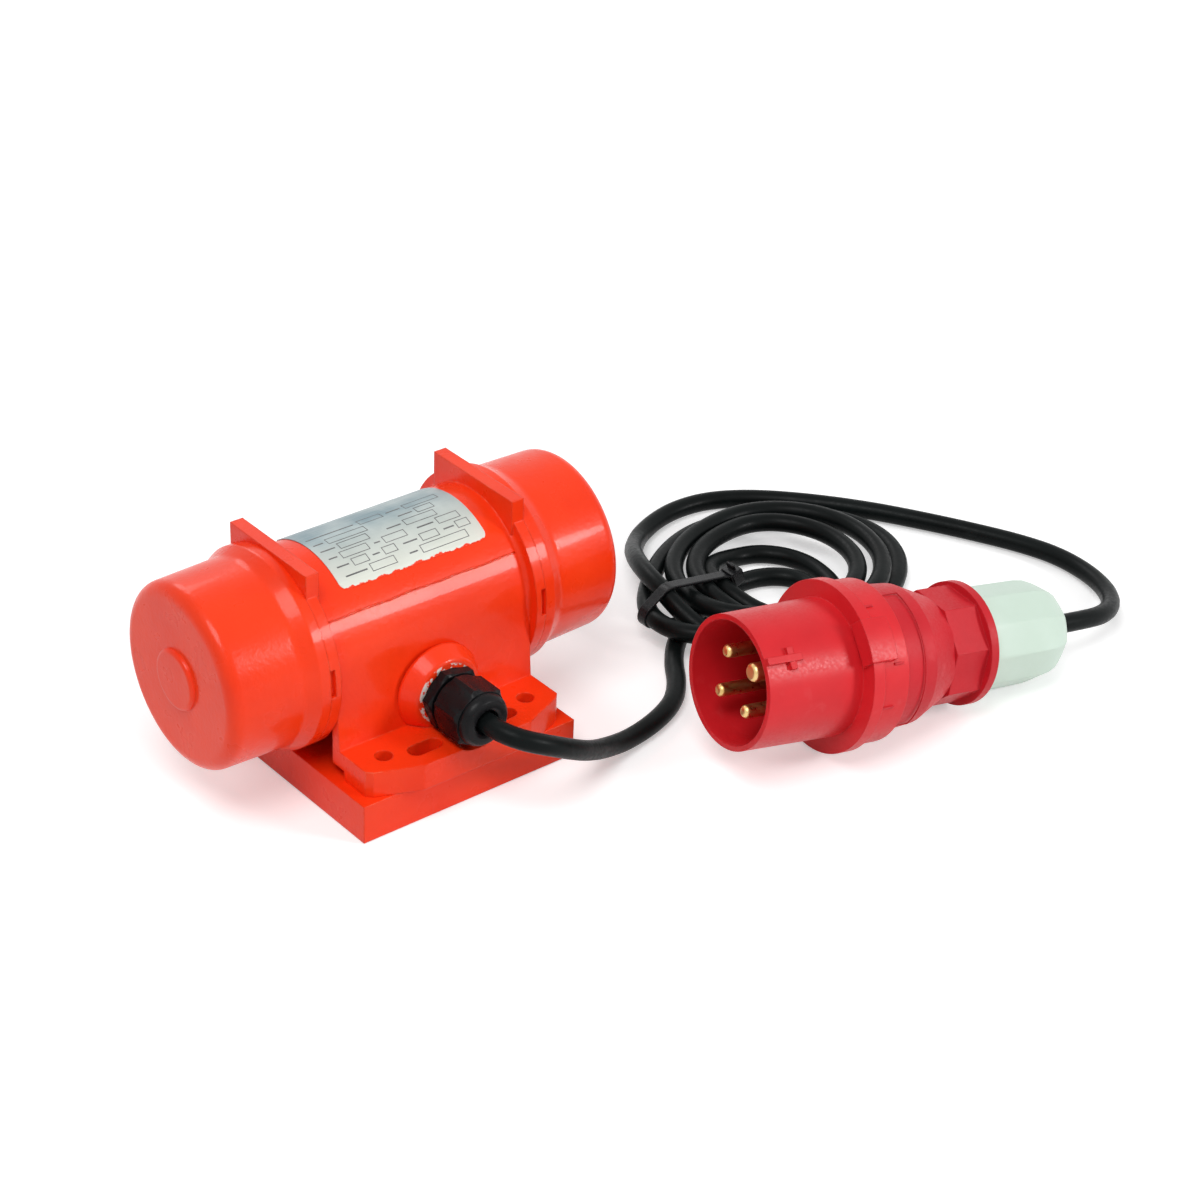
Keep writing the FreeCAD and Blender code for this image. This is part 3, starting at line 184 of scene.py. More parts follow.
def join_rings(work, rings):
    """Faces between each ring of vertices and the next."""
    for first, second in zip(rings, rings[1:]):
        for index in range(len(first)):
            after = (index + 1) % len(first)
            work.faces.new((first[index], first[after], second[after], second[index]))


def close_rows(work, rows):
    """Joins rows of points into a closed bar."""
    join_rings(work, rows)
    work.faces.new(rows[0])
    work.faces.new(rows[-1])


# ---------------------------------------------------------------- the tie
TIE_PLANE, TIE_HALF_WIDTH, TIE_THICK, TIE_BEVEL = -12.0, 2.3, 1.2, 0.25
TIE_GAP = 0.1
# The strands between these two stations of X are tied; the others cross the plane farther right.
TIED_FROM, TIED_TO = 110, 156
CIRCLE_STEPS = 32
# How much a point's height counts, against its X, when the head's place is chosen.
HEAD_HEIGHT_WEIGHT = 0.35
# The head and the strap's end: size, shift from the strap, bevel; along outward, across, upward.
TIE_HEAD = [((5.8, 7.6, 6.8), (2.2, 0, 0), 0.6),
            ((1.1, 4.4, 3.0), (2.6, 0, 4.4), 0.25)]
TIE_HEAD_SEGMENTS = 2


def outline_around(centres, radius):
    """The convex outline, as 2D points, around circles of one radius."""
    turns = [2 * math.pi * step / CIRCLE_STEPS for step in range(CIRCLE_STEPS)]
    cloud = sorted((x + radius * math.cos(turn), y + radius * math.sin(turn))
                   for x, y in centres for turn in turns)

    def turns_inward(chain, point):
        (x0, y0), (x1, y1) = chain[-2:]
        return (x1 - x0) * (point[1] - y0) <= (y1 - y0) * (point[0] - x0)

    def half(points):
        chain = []
        for point in points:
            while len(chain) > 1 and turns_inward(chain, point):
                chain.pop()
            chain.append(point)
        return chain[:-1]
    return half(cloud) + half(cloud[::-1])


def tied_strands(centreline):
    """Where the tied strands cross the tie's plane, as (x, z)."""
    strands = []
    for before, after in zip(centreline, centreline[1:]):
        crosses = (before.y - TIE_PLANE) * (after.y - TIE_PLANE) < 0
        if crosses and TIED_FROM < before.x < TIED_TO:
            place = before.lerp(after, (TIE_PLANE - before.y) / (after.y - before.y))
            strands.append((place.x, place.z))
    return strands


def make_tie(centreline):
    """A strap pulled tight round the strands, with its ratchet head and cut end."""
    outline = outline_around(tied_strands(centreline), CABLE_RADIUS + TIE_THICK / 2 + TIE_GAP)
    outline = [(x, max(z, TIE_THICK / 2)) for x, z in outline]
    middle_x = sum(x for x, _ in outline) / len(outline)
    middle_z = sum(z for _, z in outline) / len(outline)
    path = []
    for index, (x, z) in enumerate(outline):
        before, after = outline[index - 1], outline[(index + 1) % len(outline)]
        outward = Vector((after[1] - before[1], 0, before[0] - after[0]))
        if outward.dot(Vector((x - middle_x, 0, z - middle_z))) < 0:
            outward.negate()
        path.append((Vector((x, TIE_PLANE, z)), outward.normalized()))
    half, thick, bevel = TIE_HALF_WIDTH, TIE_THICK / 2, TIE_BEVEL
    section = [(-half + bevel, -thick), (half - bevel, -thick), (half, -thick + bevel),
               (half, thick - bevel), (half - bevel, thick), (-half + bevel, thick),
               (-half, thick - bevel), (-half, -thick + bevel)]
    across = Vector((0, 1, 0))
    work = bmesh.new()
    rings = [[work.verts.new(place + across * aside + outward * out) for aside, out in section]
             for place, outward in path]
    join_rings(work, rings + rings[:1])
    place, outward = max(path, key=lambda item: item[0].x + HEAD_HEIGHT_WEIGHT * item[0].z)
    add_tie_head(work, place, outward, across)
    return mesh_piece("tie_strap", work, smooth=False)


def add_tie_head(work, place, outward, across):
    """The square head, and the stub of the strap's end standing out of it."""
    upward = across.cross(outward).normalized()
    if upward.z < 0:
        upward.negate()
    turn = Matrix((outward, across, upward)).transposed().to_4x4()
    for size, shift, bevel in TIE_HEAD:
        made = bmesh.ops.create_cube(work, size=1.0)["verts"]
        bmesh.ops.scale(work, vec=size, verts=made)
        seat = Matrix.Translation(place) @ turn @ Matrix.Translation(shift)
        bmesh.ops.transform(work, matrix=seat, verts=made)
        edges = list({edge for vertex in made for edge in vertex.link_edges})
        bmesh.ops.bevel(work, geom=edges, offset=bevel, segments=TIE_HEAD_SEGMENTS,
                        affect="EDGES")


# ---------------------------------------------------------------- nuts on round pieces
PLUG_CENTRE = Vector((122.6, -101.1, 32.332))
PLUG_AXIS = Vector((0.98211, -0.13279, -0.13350)).normalized()


def around_plug(distance, radius, turn):
    side = PLUG_AXIS.cross(UP).normalized()
    up = side.cross(PLUG_AXIS)
    return (PLUG_CENTRE + PLUG_AXIS * distance
            + (side * math.cos(turn) + up * math.sin(turn)) * radius)


def around_gland(distance, radius, turn):
    return Vector((radius * math.cos(turn), -distance, GLAND_HEIGHT + radius * math.sin(turn)))


def around_shaft(distance, radius, turn):
    """Turn is from the top towards the cable's side."""
    return Vector((distance, -radius * math.sin(turn), SHAFT_HEIGHT + radius * math.cos(turn)))


STEPS_PER_SIDE = 12
SHARP_EDGE = math.radians(24)


def faceted(name, place, profile, sides, start_turn):
    """A turned piece with flats; a profile point is (distance, radius, how flat it is)."""
    steps = sides * STEPS_PER_SIDE
    side_turn = 2 * math.pi / sides
    work = bmesh.new()
    rings = []
    for distance, radius, flatness in profile:
        ring = []
        for step in range(steps):
            turn = 2 * math.pi * step / steps
            within = (turn % side_turn) - math.pi / sides
            flat = radius * math.cos(math.pi / sides) / math.cos(within)
            ring.append(work.verts.new(place(distance, radius + (flat - radius) * flatness,
                                             turn + start_turn)))
        rings.append(ring)
    join_rings(work, rings)
    piece = mesh_piece(name, work)
    with_sharp_edges(piece)
    return piece


def with_sharp_edges(piece):
    """Marks the edges that turn most as sharp, so that flats stay flat."""
    work = bmesh.new()
    work.from_mesh(piece.data)
    for edge in work.edges:
        edge.smooth = edge.calc_face_angle(0) < SHARP_EDGE
    work.to_mesh(piece.data)
    work.free()


# Radii of a hexagon nut's end faces, as shares of its half width.
FACE_INSIDE, FACE_OUTSIDE = 0.8, 1.01


def chamfered_hex(start, end, flat, chamfer):
    """Profile points of a hexagon nut whose corners are turned off at both ends."""
    corner = flat / math.cos(math.pi / 6)
    return [(start, flat * FACE_INSIDE, 0), (start, flat * FACE_OUTSIDE, 0),
            (start + chamfer, corner, 1), (end - chamfer, corner, 1),
            (end, flat * FACE_OUTSIDE, 0)]


GLAND_BASE = chamfered_hex(41.5, 46, 10.4, 0.6) + [(46, 8, 0), (48, 8, 0)]
GLAND_BASE_TURN = math.radians(49)
GLAND_NUT = chamfered_hex(47.2, 60.5, 10.3, 1.1) + [
    (60.5, 9.7, 0), (61.1, 10.0, 0), (62.2, 9.9, 0), (63.4, 9.3, 0), (64.2, 8.4, 0),
    (64.55, 7.2, 0), (64.5, 5.9, 0), (64.0, 4.9, 0), (62.5, 4.3, 0), (58, 4.1, 0)]
GLAND_NUT_TURN = math.radians(41)


def make_gland():
    """The gland's hexagon base and its nut with the domed, open nose."""
    base = faceted("gland_base", around_gland, GLAND_BASE, 6, GLAND_BASE_TURN)
    nut = faceted("gland_dome_nut", around_gland, GLAND_NUT, 6, GLAND_NUT_TURN)
    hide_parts("gland_body")
    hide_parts("gland_nut")
    return base, nut


PLUG_NUT = [
    (64.5, 16.8, 0), (64.5, 19.2, 0), (65.1, 19.9, 0), (68, 20.0, 0.2), (70, 20.0, 1),
    (93.0, 19.6, 1), (97.5, 19.0, 1), (101.5, 17.5, 0.9), (104.6, 15.3, 0.7),
    (107.0, 12.6, 0.4), (108.8, 9.9, 0.2), (109.7, 7.6, 0), (109.9, 5.6, 0), (109.6, 4.3, 0),
    (108.4, 3.9, 0), (100, 3.9, 0)]
PLUG_NUT_SIDES, PLUG_NUT_TURN = 10, math.radians(8)


def make_plug_nut():
    """The domed nut with its flats, which fade into the dome."""
    piece = faceted("plug_nut_faceted", around_plug, PLUG_NUT, PLUG_NUT_SIDES, PLUG_NUT_TURN)
    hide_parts("plug_nut")
    return piece


# ---------------------------------------------------------------- marks on round pieces
# How deep a mark is rooted in its surface, and the longest step of its arc in degrees.
ROOT = 0.1
PATCH_STEP = 2


def raised_patch(work, place, start, end, angle_from, angle_to, radius, lift):
    """A thin pad on a round surface, between two stations and two angles in degrees."""
    corners = ((start, radius - ROOT), (end, radius - ROOT),
               (end, radius + lift), (start, radius + lift))
    pieces = max(2, round(abs(angle_to - angle_from) / PATCH_STEP))
    rows = []
    for step in range(pieces + 1):
        angle = math.radians(angle_from + (angle_to - angle_from) * step / pieces)
        rows.append([work.verts.new(place(station, level, angle)) for station, level in corners])
    close_rows(work, rows)


# The type plate's blank fields, by rows: the row's angle, then for each field the start and end
# of a short rule and of a box.
LABEL_ROWS = [
    (31, [(-26, -17, -15.5, -5), (1, 4.5, 6, 26)]),
    (23.5, [(-27, -22, -20.5, -14), (-12, -9, -7.5, -2), (1, 7, 8.5, 16), (18.5, 23, 24, 29.5)]),
    (16, [(-27.5, -24, -22.5, -11), (-8.5, -6, -4.5, 5), (10, 17, 18.5, 28)]),
    (8.5, [(-28, -22, -20.5, -8), (0, 6, 7.5, 21)]),
    (1, [(-28, -24, -22.5, -6), (8, 14, 15.5, 23)]),
    (-7, [(-28, -8, -6, 4), (6, 12, 13.5, 28)])]
LABEL_RADIUS, LINE_WIDTH, LINE_LIFT = 33.4, 0.28, 0.04
# Half the heights of a box and of a rule, in degrees round the plate.
ROW_HALF, RULE_HALF = 2.6, 0.5


def make_label_lines():
    work = bmesh.new()
    edge = math.degrees(LINE_WIDTH / LABEL_RADIUS)

    def strip(start, end, angle_from, angle_to):
        raised_patch(work, around_shaft, start, end, angle_from, angle_to, LABEL_RADIUS,
                     LINE_LIFT)
    for angle, fields in LABEL_ROWS:
        for rule_start, rule_end, box_start, box_end in fields:
            strip(rule_start, rule_end, angle - RULE_HALF, angle + RULE_HALF)
            for side in (-1, 1):
                middle = angle + side * ROW_HALF
                strip(box_start, box_end, middle - edge / 2, middle + edge / 2)
            for station in (box_start, box_end - LINE_WIDTH):
                strip(station, station + LINE_WIDTH, angle - ROW_HALF, angle + ROW_HALF)
    return mesh_piece("nameplate_lines", work, smooth=False)


SEAM_RADIUS, SEAM_ANGLE, SEAM_HALF_LENGTH, SEAM_STEPS = 33.1, 53, 40.3, 90


def make_parting_line():
    """The low seam that the casting's mould left along the barrel, a little wavy."""
    work = bmesh.new()
    rows = []
    for step in range(SEAM_STEPS + 1):
        station = -SEAM_HALF_LENGTH + 2 * SEAM_HALF_LENGTH * step / SEAM_STEPS
        sway = 0.25 * math.sin(station * 0.31) + 0.12 * math.sin(station * 1.7 + 1)
        crest = 0.16 + 0.04 * math.sin(station * 2.3)
        rows.append([
            work.verts.new(around_shaft(station, SEAM_RADIUS + lift,
                                        math.radians(SEAM_ANGLE + sway + offset)))
            for offset, lift in ((-0.9, -0.1), (-0.4, 0.14), (0.4, crest), (0.9, -0.1))])
    close_rows(work, rows)
    return mesh_piece("casting_seam", work)


SLEEVE_RADIUS, BAND_RADIUS, SHROUD_RADIUS = 30.15, 27.4, 24.68
# Ridges along the collar's sleeve: start, end and angle.
SLEEVE_RIDGES = [(5.2, 9.5, 71), (10.4, 14.5, 27.5), (5.2, 11, -3), (5.2, 11, -75), (5.2, 11, 130)]
RIDGE_HALF, RIDGE_LIFT = 0.8, 0.55
# The bare band on the housing: its two lines along the plug and its two ends in degrees.
BAND_LINES, BAND_ENDS = (18.2, 26.6), (-35, 86)
BAND_LINE, BAND_HALF, BAND_LIFT = 0.5, 0.6, 0.28
# The latch's arm and lip, the ring on the shroud, and black pads of painted shade in the gap
# beside the arm, each as start, end, first and last angle, radius and lift.
LATCH_AND_RING = [(6.6, 9.6, 32, 47, SLEEVE_RADIUS, 1.9), (10.4, 11.6, 34, 60, SLEEVE_RADIUS, 0.8),
                  (-23, -22.6, -178, 178, SHROUD_RADIUS, 0.08)]
LATCH_GAP_SHADE_PADS = [(5.4, 8.4, 47, 53, SLEEVE_RADIUS, 0.9), (5.05, 6.5, 30, 50, SLEEVE_RADIUS, 1.0)]


def make_plug_marks():
    """Ridges on the collar's sleeve, the bare band's edges, the latch's arm and a ring."""
    work = bmesh.new()
    for start, end, angle in SLEEVE_RIDGES:
        raised_patch(work, around_plug, start, end, angle - RIDGE_HALF, angle + RIDGE_HALF,
                     SLEEVE_RADIUS, RIDGE_LIFT)
    for start in BAND_LINES:
        raised_patch(work, around_plug, start, start + BAND_LINE, *BAND_ENDS, BAND_RADIUS,
                     BAND_LIFT)
    for angle in BAND_ENDS:
        raised_patch(work, around_plug, BAND_LINES[0], BAND_LINES[1] + BAND_LINE,
                     angle - BAND_HALF, angle + BAND_HALF, BAND_RADIUS, BAND_LIFT)
    for patch in LATCH_AND_RING:
        raised_patch(work, around_plug, *patch)
    return mesh_piece("plug_marks", work, smooth=False)


def make_latch_gap_painted_shade():
    """Black pads that paint the shade in the gap beside the latch's arm."""
    work = bmesh.new()
    for patch in LATCH_GAP_SHADE_PADS:
        raised_patch(work, around_plug, *patch)
    return mesh_piece("plug_latch_gap_painted_shade", work, smooth=False)


# ---------------------------------------------------------------- finishes
# Sockets of the colour mix node, whose names repeat.
MIX_FACTOR, MIX_FIRST, MIX_SECOND, MIX_RESULT = 0, 6, 7, 2


class Finish:
    """A Principled material, with short calls for the nodes that vary it."""

    def __init__(self, name, **sockets):
        self.material = bpy.data.materials.new(name)
        self.material.use_nodes = True
        self.tree = self.material.node_tree
        self.shader = self.tree.nodes["Principled BSDF"]
        self.place = self.add("ShaderNodeTexCoord").outputs["Object"]
        for socket, value in sockets.items():
            self.shader.inputs[socket.replace("_", " ")].default_value = value

    def plug_in(self, node, socket, source):
        """Gives an input a value or a link."""
        if isinstance(source, bpy.types.NodeSocket):
            self.tree.links.new(source, node.inputs[socket])
        else:
            node.inputs[socket].default_value = source

    def add(self, kind, inputs=None, **settings):
        node = self.tree.nodes.new(kind)
        for key, setting in settings.items():
            setattr(node, key, setting)
        for socket, source in (inputs or {}).items():
            self.plug_in(node, socket, source)
        return node

    def maths(self, operation, first, second, *third):
        inputs = dict(enumerate((first, second, *third)))
        return self.add("ShaderNodeMath", inputs, operation=operation).outputs[0]

    def noise(self, scale, detail=4.0, stretch=(1, 1, 1)):
        place = self.place
        if stretch != (1, 1, 1):
            place = self.add("ShaderNodeMapping", {"Vector": place, "Scale": stretch}).outputs[0]
        return self.add("ShaderNodeTexNoise",
                        {"Vector": place, "Scale": scale, "Detail": detail}).outputs[0]

    def waves(self, scale, distortion, detail=2.0):
        """Bands across the shaft."""
        return self.add("ShaderNodeTexWave", {"Vector": self.place, "Scale": scale,
                                              "Distortion": distortion, "Detail": detail},
                        bands_direction="X").outputs[1]

    def distance(self, centre=(0, 0, 0)):
        away = self.add("ShaderNodeVectorMath", {0: self.place, 1: centre},
                        operation="SUBTRACT").outputs[0]
        return self.add("ShaderNodeVectorMath", {0: away}, operation="LENGTH").outputs[1]

    def between(self, factor, low, high, start=0.35, end=0.65):
        """Remaps a factor to a range of numbers."""
        return self.add("ShaderNodeMapRange",
                        {"Value": factor, "From Min": start, "From Max": end,
                         "To Min": low, "To Max": high}).outputs[0]

    def mixed(self, factor, first, second):
        """Mixes two colours, each a colour or a socket."""
        inputs = {MIX_FACTOR: factor, MIX_FIRST: first, MIX_SECOND: second}
        return self.add("ShaderNodeMix", inputs, data_type="RGBA").outputs[MIX_RESULT]

    def product(self, first, second):
        return self.maths("MULTIPLY", first, second)

    def worn_edges(self, width, low, high):
        """High where the surface turns sharply, broken up by noise."""
        soft = self.add("ShaderNodeBevel", {"Radius": width}, samples=4).outputs[0]
        own = self.add("ShaderNodeNewGeometry").outputs["Normal"]
        same = self.add("ShaderNodeVectorMath", {0: soft, 1: own},
                        operation="DOT_PRODUCT").outputs[1]
        edge = self.between(same, 1.0, 0.0, low, high)
        return self.product(edge, self.between(self.noise(260, 6), 0.0, 1.0, 0.48, 0.62))

    def set(self, socket, source):
        self.tree.links.new(source, self.shader.inputs[socket])

    def bump(self, height, distance, edge_radius=0.0):
        inputs = {"Height": height, "Distance": distance, "Strength": 1.0}
        if edge_radius:
            inputs["Normal"] = self.add("ShaderNodeBevel", {"Radius": edge_radius},
                                        samples=6).outputs[0]
        self.set("Normal", self.add("ShaderNodeBump", inputs).outputs[0])


def orange_paint():
    """Thick gloss enamel over a sand casting: orange peel, soft waviness, chips along edges."""
    finish = Finish("orange_paint", Coat_Weight=0.16, Coat_Roughness=0.07,
                    Specular_IOR_Level=0.16)
    cloudy = finish.between(finish.noise(28, 5), 0.0, 1.0)
    colour = finish.mixed(cloudy, (0.88, 0.036, 0.004, 1), (0.95, 0.048, 0.007, 1))
    worn = finish.worn_edges(0.0006, 0.90, 0.995)
    painted = finish.mixed(finish.product(worn, finish.between(cloudy, 0.0, 0.5, 0, 1)),
                           colour, (1.0, 0.26, 0.14, 1))
    finish.set("Base Color", finish.mixed(gland_chips(finish), painted, (0.80, 0.74, 0.68, 1)))
    finish.set("Roughness", finish.between(finish.noise(90, 3), 0.26, 0.36))
    peel = finish.maths("ADD", finish.noise(70, 3), finish.noise(620, 2))
    finish.bump(peel, 0.0001, 0.0009)
    return finish.material


# The chipped place, and the distances from its centre between which the chips end.
CHIPS_CENTRE, CHIPS_FULL, CHIPS_END = (-0.0008, -0.0415, 0.0371), 0.0114, 0.0119


def gland_chips(finish):
    """Flaked paint round the gland's seat, mostly above it."""
    inside = finish.between(finish.distance(CHIPS_CENTRE), 1.0, 0.0, CHIPS_FULL, CHIPS_END)
    return finish.product(inside, finish.between(finish.noise(520, 5), 0.0, 1.0, 0.47, 0.51))


# The type plate's painted reflection goes from pale to dark bluish grey over these stations of Y,
# and paint laps over its lower edge.
LABEL_PALE_REFLECTION_Y, LABEL_DARK_REFLECTION_Y = -0.020, 0.004
LAPPED_Y, CLEAR_Y, RAGGED_BY = -0.01905, -0.01890, 0.0032


def label_metal():
    """Thin satin aluminium with fine rolling lines, a painted reflection from pale below to dark
    bluish grey above, and paint lapped over its lower edge.
    """
    finish = Finish("label_plate")
    lines = finish.noise(900, 3, (0.05, 1, 1))
    across = finish.add("ShaderNodeSeparateXYZ", {0: finish.place}).outputs[1]
    # Painted reflection: the plate is coloured pale off-white low down and dark bluish grey
    # towards its top, with random paler patches over it.
    dark_reflection_share = finish.between(across, 0.0, 1.0, LABEL_PALE_REFLECTION_Y, LABEL_DARK_REFLECTION_Y)
    painted_reflection_and_tone = finish.mixed(dark_reflection_share, (0.72, 0.74, 0.66, 1), (0.20, 0.28, 0.31, 1))
    painted_reflection_and_tone = finish.mixed(finish.between(finish.noise(60, 4), 0, 0.35), painted_reflection_and_tone,
                              (0.76, 0.79, 0.74, 1))
    ragged = finish.maths("MULTIPLY_ADD", finish.noise(330, 5), RAGGED_BY, across)
    lapped = finish.between(ragged, 1.0, 0.0, LAPPED_Y, CLEAR_Y)
    finish.set("Base Color", finish.mixed(lapped, painted_reflection_and_tone, (0.90, 0.045, 0.006, 1)))
    finish.set("Metallic", finish.between(lapped, 0.45, 0.0, 0, 1))
    finish.set("Roughness", finish.between(lines, 0.34, 0.5))
    finish.bump(finish.maths("ADD", lapped, lines), 0.00005)
    return finish.material


def metal(name, dark, light, rough, grain_scale=500, depth=0.00003, metallic=1.0, edge=0.0003):
    """Bare metal: fine grain, cloudy tone, brighter edges."""
    finish = Finish(name, Metallic=metallic)
    grain = finish.noise(grain_scale, 3)
    cloudy = finish.mixed(finish.between(finish.noise(80, 5), 0, 1), (*dark, 1), (*light, 1))
    if edge:
        bright = tuple(min(1.0, part * 1.35) for part in light)
        cloudy = finish.mixed(finish.worn_edges(edge, 0.9, 0.99), cloudy, (*bright, 1))
    finish.set("Base Color", cloudy)
    finish.set("Roughness", finish.between(grain, rough - 0.07, rough + 0.09))
    finish.bump(grain, depth, edge)
    return finish.material


def moulded(name, dark, light, rough, depth=0.00003, specular=0.3, grain_scale=900, edge=0.0005,
            scuff=(1, 1, 1)):
    """Moulded plastic or rubber: spark-eroded grain, slow colour drift and faint scuffs."""
    finish = Finish(name, Specular_IOR_Level=specular)
    grain = finish.noise(grain_scale, 3)
    drift = finish.mixed(finish.between(finish.noise(35, 4), 0, 1), (*dark, 1), (*light, 1))
    streaks = finish.between(finish.noise(150, 8, (1, 0.15, 1)), 0, 1, 0.60, 0.70)
    scuffs = finish.product(streaks, finish.between(finish.noise(25, 2), 0, 0.35, 0.45, 0.6))
    finish.set("Base Color", finish.mixed(scuffs, drift, (*scuff, 1)))
    finish.set("Roughness", finish.between(grain, rough - 0.05, rough + 0.08))
    finish.bump(grain, depth, edge)
    return finish.material


def laminated(name):
    """Punched sheets on edge: fine lines across the shaft."""
    finish = Finish(name, Metallic=0.85)
    sheets = finish.waves(320.0, 0.4)
    finish.set("Base Color", finish.mixed(sheets, (0.10, 0.10, 0.11, 1), (0.32, 0.32, 0.34, 1)))
    finish.set("Roughness", finish.between(finish.noise(200, 3), 0.4, 0.6))
    finish.bump(sheets, 0.00006)
    return finish.material


def wound_copper(name):
    """Enamelled wire laid side by side."""
    finish = Finish(name, Metallic=0.8, Coat_Weight=0.6, Coat_Roughness=0.15)
    wires = finish.waves(420.0, 2.5, 1.0)
    finish.set("Base Color", finish.mixed(wires, (0.20, 0.045, 0.01, 1), (0.62, 0.22, 0.07, 1)))
    finish.set("Roughness", finish.between(wires, 0.3, 0.45))
    finish.bump(wires, 0.0002)
    return finish.material


# Name, dark and light tone, roughness, then what differs from the defaults.
METALS = [
    ("steel", (0.33, 0.34, 0.35), (0.52, 0.53, 0.54), 0.32, {}),
    ("rotor_bars", (0.50, 0.51, 0.52), (0.66, 0.67, 0.68), 0.42, {}),
    ("bearing_steel", (0.55, 0.56, 0.57), (0.68, 0.69, 0.70), 0.16, {"depth": 0.00001}),
    ("cast_weight", (0.07, 0.07, 0.075), (0.14, 0.14, 0.145), 0.58,
     {"grain_scale": 350, "depth": 0.00015}),
    ("dial_plate", (0.58, 0.58, 0.55), (0.72, 0.72, 0.69), 0.36, {}),
    ("contact_brass", (0.62, 0.42, 0.15), (0.80, 0.60, 0.27), 0.34,
     {"depth": 0.0000004, "edge": 0.0}),
    ("label_line", (0.10, 0.10, 0.10), (0.18, 0.18, 0.18), 0.5, {"metallic": 0.2})]
MOULDED = [
    ("wire_insulation", (0.12, 0.01, 0.01), (0.18, 0.02, 0.02), 0.4, {}),
    ("black_rubber", (0.0025, 0.0035, 0.0035), (0.005, 0.007, 0.007), 0.36,
     {"depth": 0.00002, "specular": 0.08, "grain_scale": 700, "edge": 0.0,
      "scuff": (0.025, 0.03, 0.03)}),
    ("tie_plastic", (0.005, 0.005, 0.006), (0.010, 0.010, 0.012), 0.28,
     {"specular": 0.2, "scuff": (0.05, 0.05, 0.05)}),
    ("plug_red", (0.50, 0.010, 0.018), (0.60, 0.014, 0.024), 0.44,
     {"depth": 0.00004, "specular": 0.25, "scuff": (0.66, 0.07, 0.08)}),
    ("plug_front_red", (0.60, 0.012, 0.018), (0.70, 0.017, 0.024), 0.38,
     {"depth": 0.000012, "scuff": (0.72, 0.06, 0.07)}),
    ("plug_insert", (0.20, 0.004, 0.008), (0.26, 0.006, 0.012), 0.45,
     {"scuff": (0.4, 0.05, 0.05)}),
    ("plug_grey", (0.60, 0.73, 0.63), (0.66, 0.79, 0.70), 0.42, {"scuff": (0.78, 0.86, 0.80)}),
    ("gland_plastic", (0.004, 0.004, 0.0045), (0.009, 0.009, 0.010), 0.32,
     {"depth": 0.0000006, "specular": 0.12, "edge": 0.0004, "scuff": (0.02, 0.02, 0.02)})]


def make_finishes():
    """One material for each material slot of the record, and a few for places that differ."""
    made = {"orange_paint": orange_paint(), "label_plate": label_metal(),
            "laminations": laminated("laminations"), "copper": wound_copper("copper")}
    for make, table in ((metal, METALS), (moulded, MOULDED)):
        for name, dark, light, rough, others in table:
            made[name] = make(name, dark, light, rough, **others)
    return made


def dress(thing, material):
    """Gives every material slot of an object one finish."""
    if not thing.data.materials:
        thing.data.materials.append(material)
    for index in range(len(thing.data.materials)):
        thing.data.materials[index] = material


# ---------------------------------------------------------------- floor and light
FLOOR_HALF, FLOOR_DROP = 6.0, 0.0004
# What the floor adds to be seen white near the object, and the distances over which it rises
# to 1, where the lamps no longer reach.
FLOOR_LIFT, LIFT_NEAR, LIFT_FAR = 0.42, 0.8, 2.6
WORLD_LIGHT = 0.32
# Name, place, what it points at, size and power.
LAMPS = [
    ("front_box", (1.05, -1.50, 0.85), (0.05, -0.03, 0.05), 0.5, 15),
    ("top_box", (-0.65, -0.5, 1.5), (0.05, -0.03, 0.03), 0.9, 14),
    ("back_box", (0.3, 1.3, 1.1), (0.1, 0, 0.03), 0.8, 6)]


def seen_directly(tree):
    """1 for the rays that show the white background: from the camera, a mirror or glass."""
    path = tree.nodes.new("ShaderNodeLightPath")
    seen = path.outputs["Is Camera Ray"]
    for kind in ("Is Glossy Ray", "Is Transmission Ray"):
        either = tree.nodes.new("ShaderNodeMath")
        either.operation = "MAXIMUM"
        tree.links.new(seen, either.inputs[0])
        tree.links.new(path.outputs[kind], either.inputs[1])
        seen = either.outputs[0]
    return seen


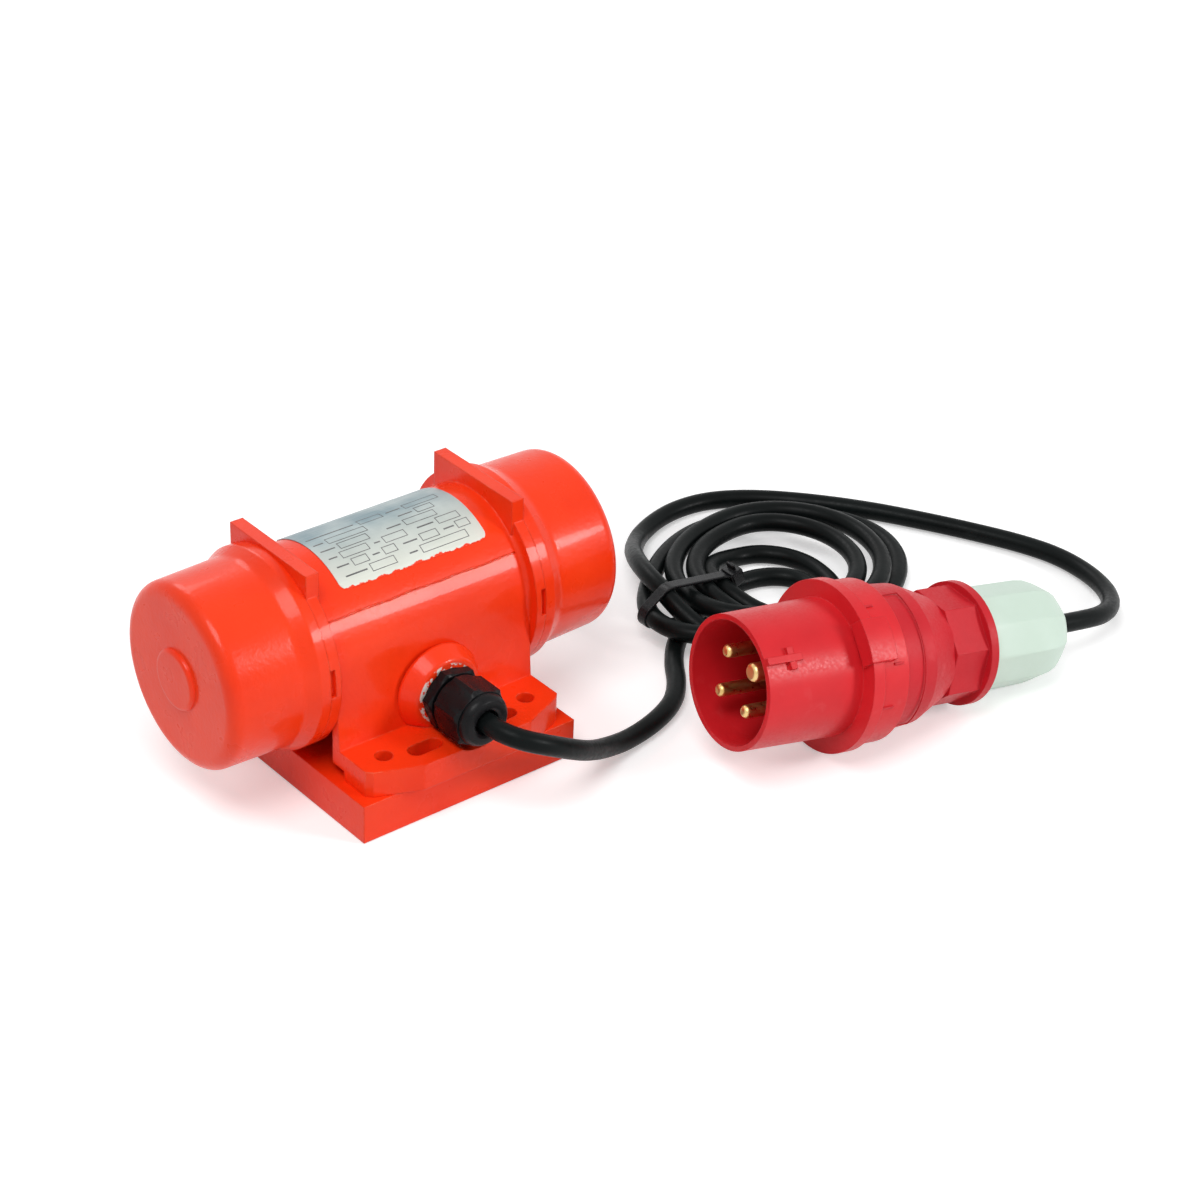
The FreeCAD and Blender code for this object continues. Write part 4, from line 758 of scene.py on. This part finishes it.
def make_floor():
    """A pale floor that keeps the shadow and looks white."""
    work = bmesh.new()
    bmesh.ops.create_grid(work, x_segments=1, y_segments=1, size=FLOOR_HALF)
    mesh = bpy.data.meshes.new("floor")
    work.to_mesh(mesh)
    work.free()
    floor = link("floor", mesh)
    floor.location.z = -FLOOR_DROP
    finish = Finish("floor", Roughness=0.9, Specular_IOR_Level=0.1)
    tone = finish.mixed(finish.noise(6, 3), (0.80, 0.80, 0.80, 1), (0.82, 0.82, 0.82, 1))
    finish.set("Base Color", tone)
    lift = finish.between(finish.distance(), FLOOR_LIFT, 1.0, LIFT_NEAR, LIFT_FAR)
    strength = finish.product(seen_directly(finish.tree), lift)
    glow = finish.add("ShaderNodeEmission", {"Color": (1, 1, 1, 1), "Strength": strength})
    both = finish.add("ShaderNodeAddShader", {0: finish.shader.outputs[0], 1: glow.outputs[0]})
    finish.tree.links.new(both.outputs[0],
                          finish.tree.nodes["Material Output"].inputs["Surface"])
    mesh.materials.append(finish.material)


def make_world():
    """A soft white sky, plain white where it is seen."""
    world = bpy.data.worlds.new("studio")
    bpy.context.scene.world = world
    world.use_nodes = True
    tree = world.node_tree
    sky, seen = tree.nodes["Background"], tree.nodes.new("ShaderNodeBackground")
    for background, strength in ((sky, WORLD_LIGHT), (seen, 1.0)):
        background.inputs["Color"].default_value = (1, 1, 1, 1)
        background.inputs["Strength"].default_value = strength
    mix = tree.nodes.new("ShaderNodeMixShader")
    tree.links.new(seen_directly(tree), mix.inputs[0])
    tree.links.new(sky.outputs[0], mix.inputs[1])
    tree.links.new(seen.outputs[0], mix.inputs[2])
    tree.links.new(mix.outputs[0], tree.nodes["World Output"].inputs["Surface"])


def make_lamp(name, place, target, size, power):
    data = bpy.data.lights.new(name, "AREA")
    data.shape, data.size, data.energy = "DISK", size, power
    lamp = link(name, data)
    lamp.location = place
    lamp.rotation_mode = "QUATERNION"
    lamp.rotation_quaternion = (Vector(target) - Vector(place)).to_track_quat("-Z", "Y")


# ---------------------------------------------------------------- the scene
make_camera()
make_floor()
make_world()
for lamp in LAMPS:
    make_lamp(*lamp)
finishes = make_finishes()

slot_of = {entry["node"]: entry["material_slot"] for entry in frame["record"]["subparts"]}
for node, thing in frame["nodes"].items():
    dress(thing, finishes[slot_of[node]])
dress(frame["nodes"]["plug_front"], finishes["plug_front_red"])

cable, centreline = make_cable()
dress(cable, finishes["black_rubber"])
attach(cable, "housing")
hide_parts("cable_lead", "cable_coil", "cable_tail")

tie = make_tie(centreline)
dress(tie, finishes["tie_plastic"])
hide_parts("cable_tie")

gland_base, gland_nut = make_gland()
dress(gland_base, finishes["gland_plastic"])
dress(gland_nut, finishes["gland_plastic"])
nut = make_plug_nut()
dress(nut, finishes["plug_grey"])
marks = make_plug_marks()
dress(marks, finishes["plug_red"])
# Painted shade: the tie's black plastic colours the pads in the latch's gap.
latch_gap_painted_shade = make_latch_gap_painted_shade()
dress(latch_gap_painted_shade, finishes["tie_plastic"])
dress(make_label_lines(), finishes["label_line"])
dress(make_parting_line(), finishes["orange_paint"])
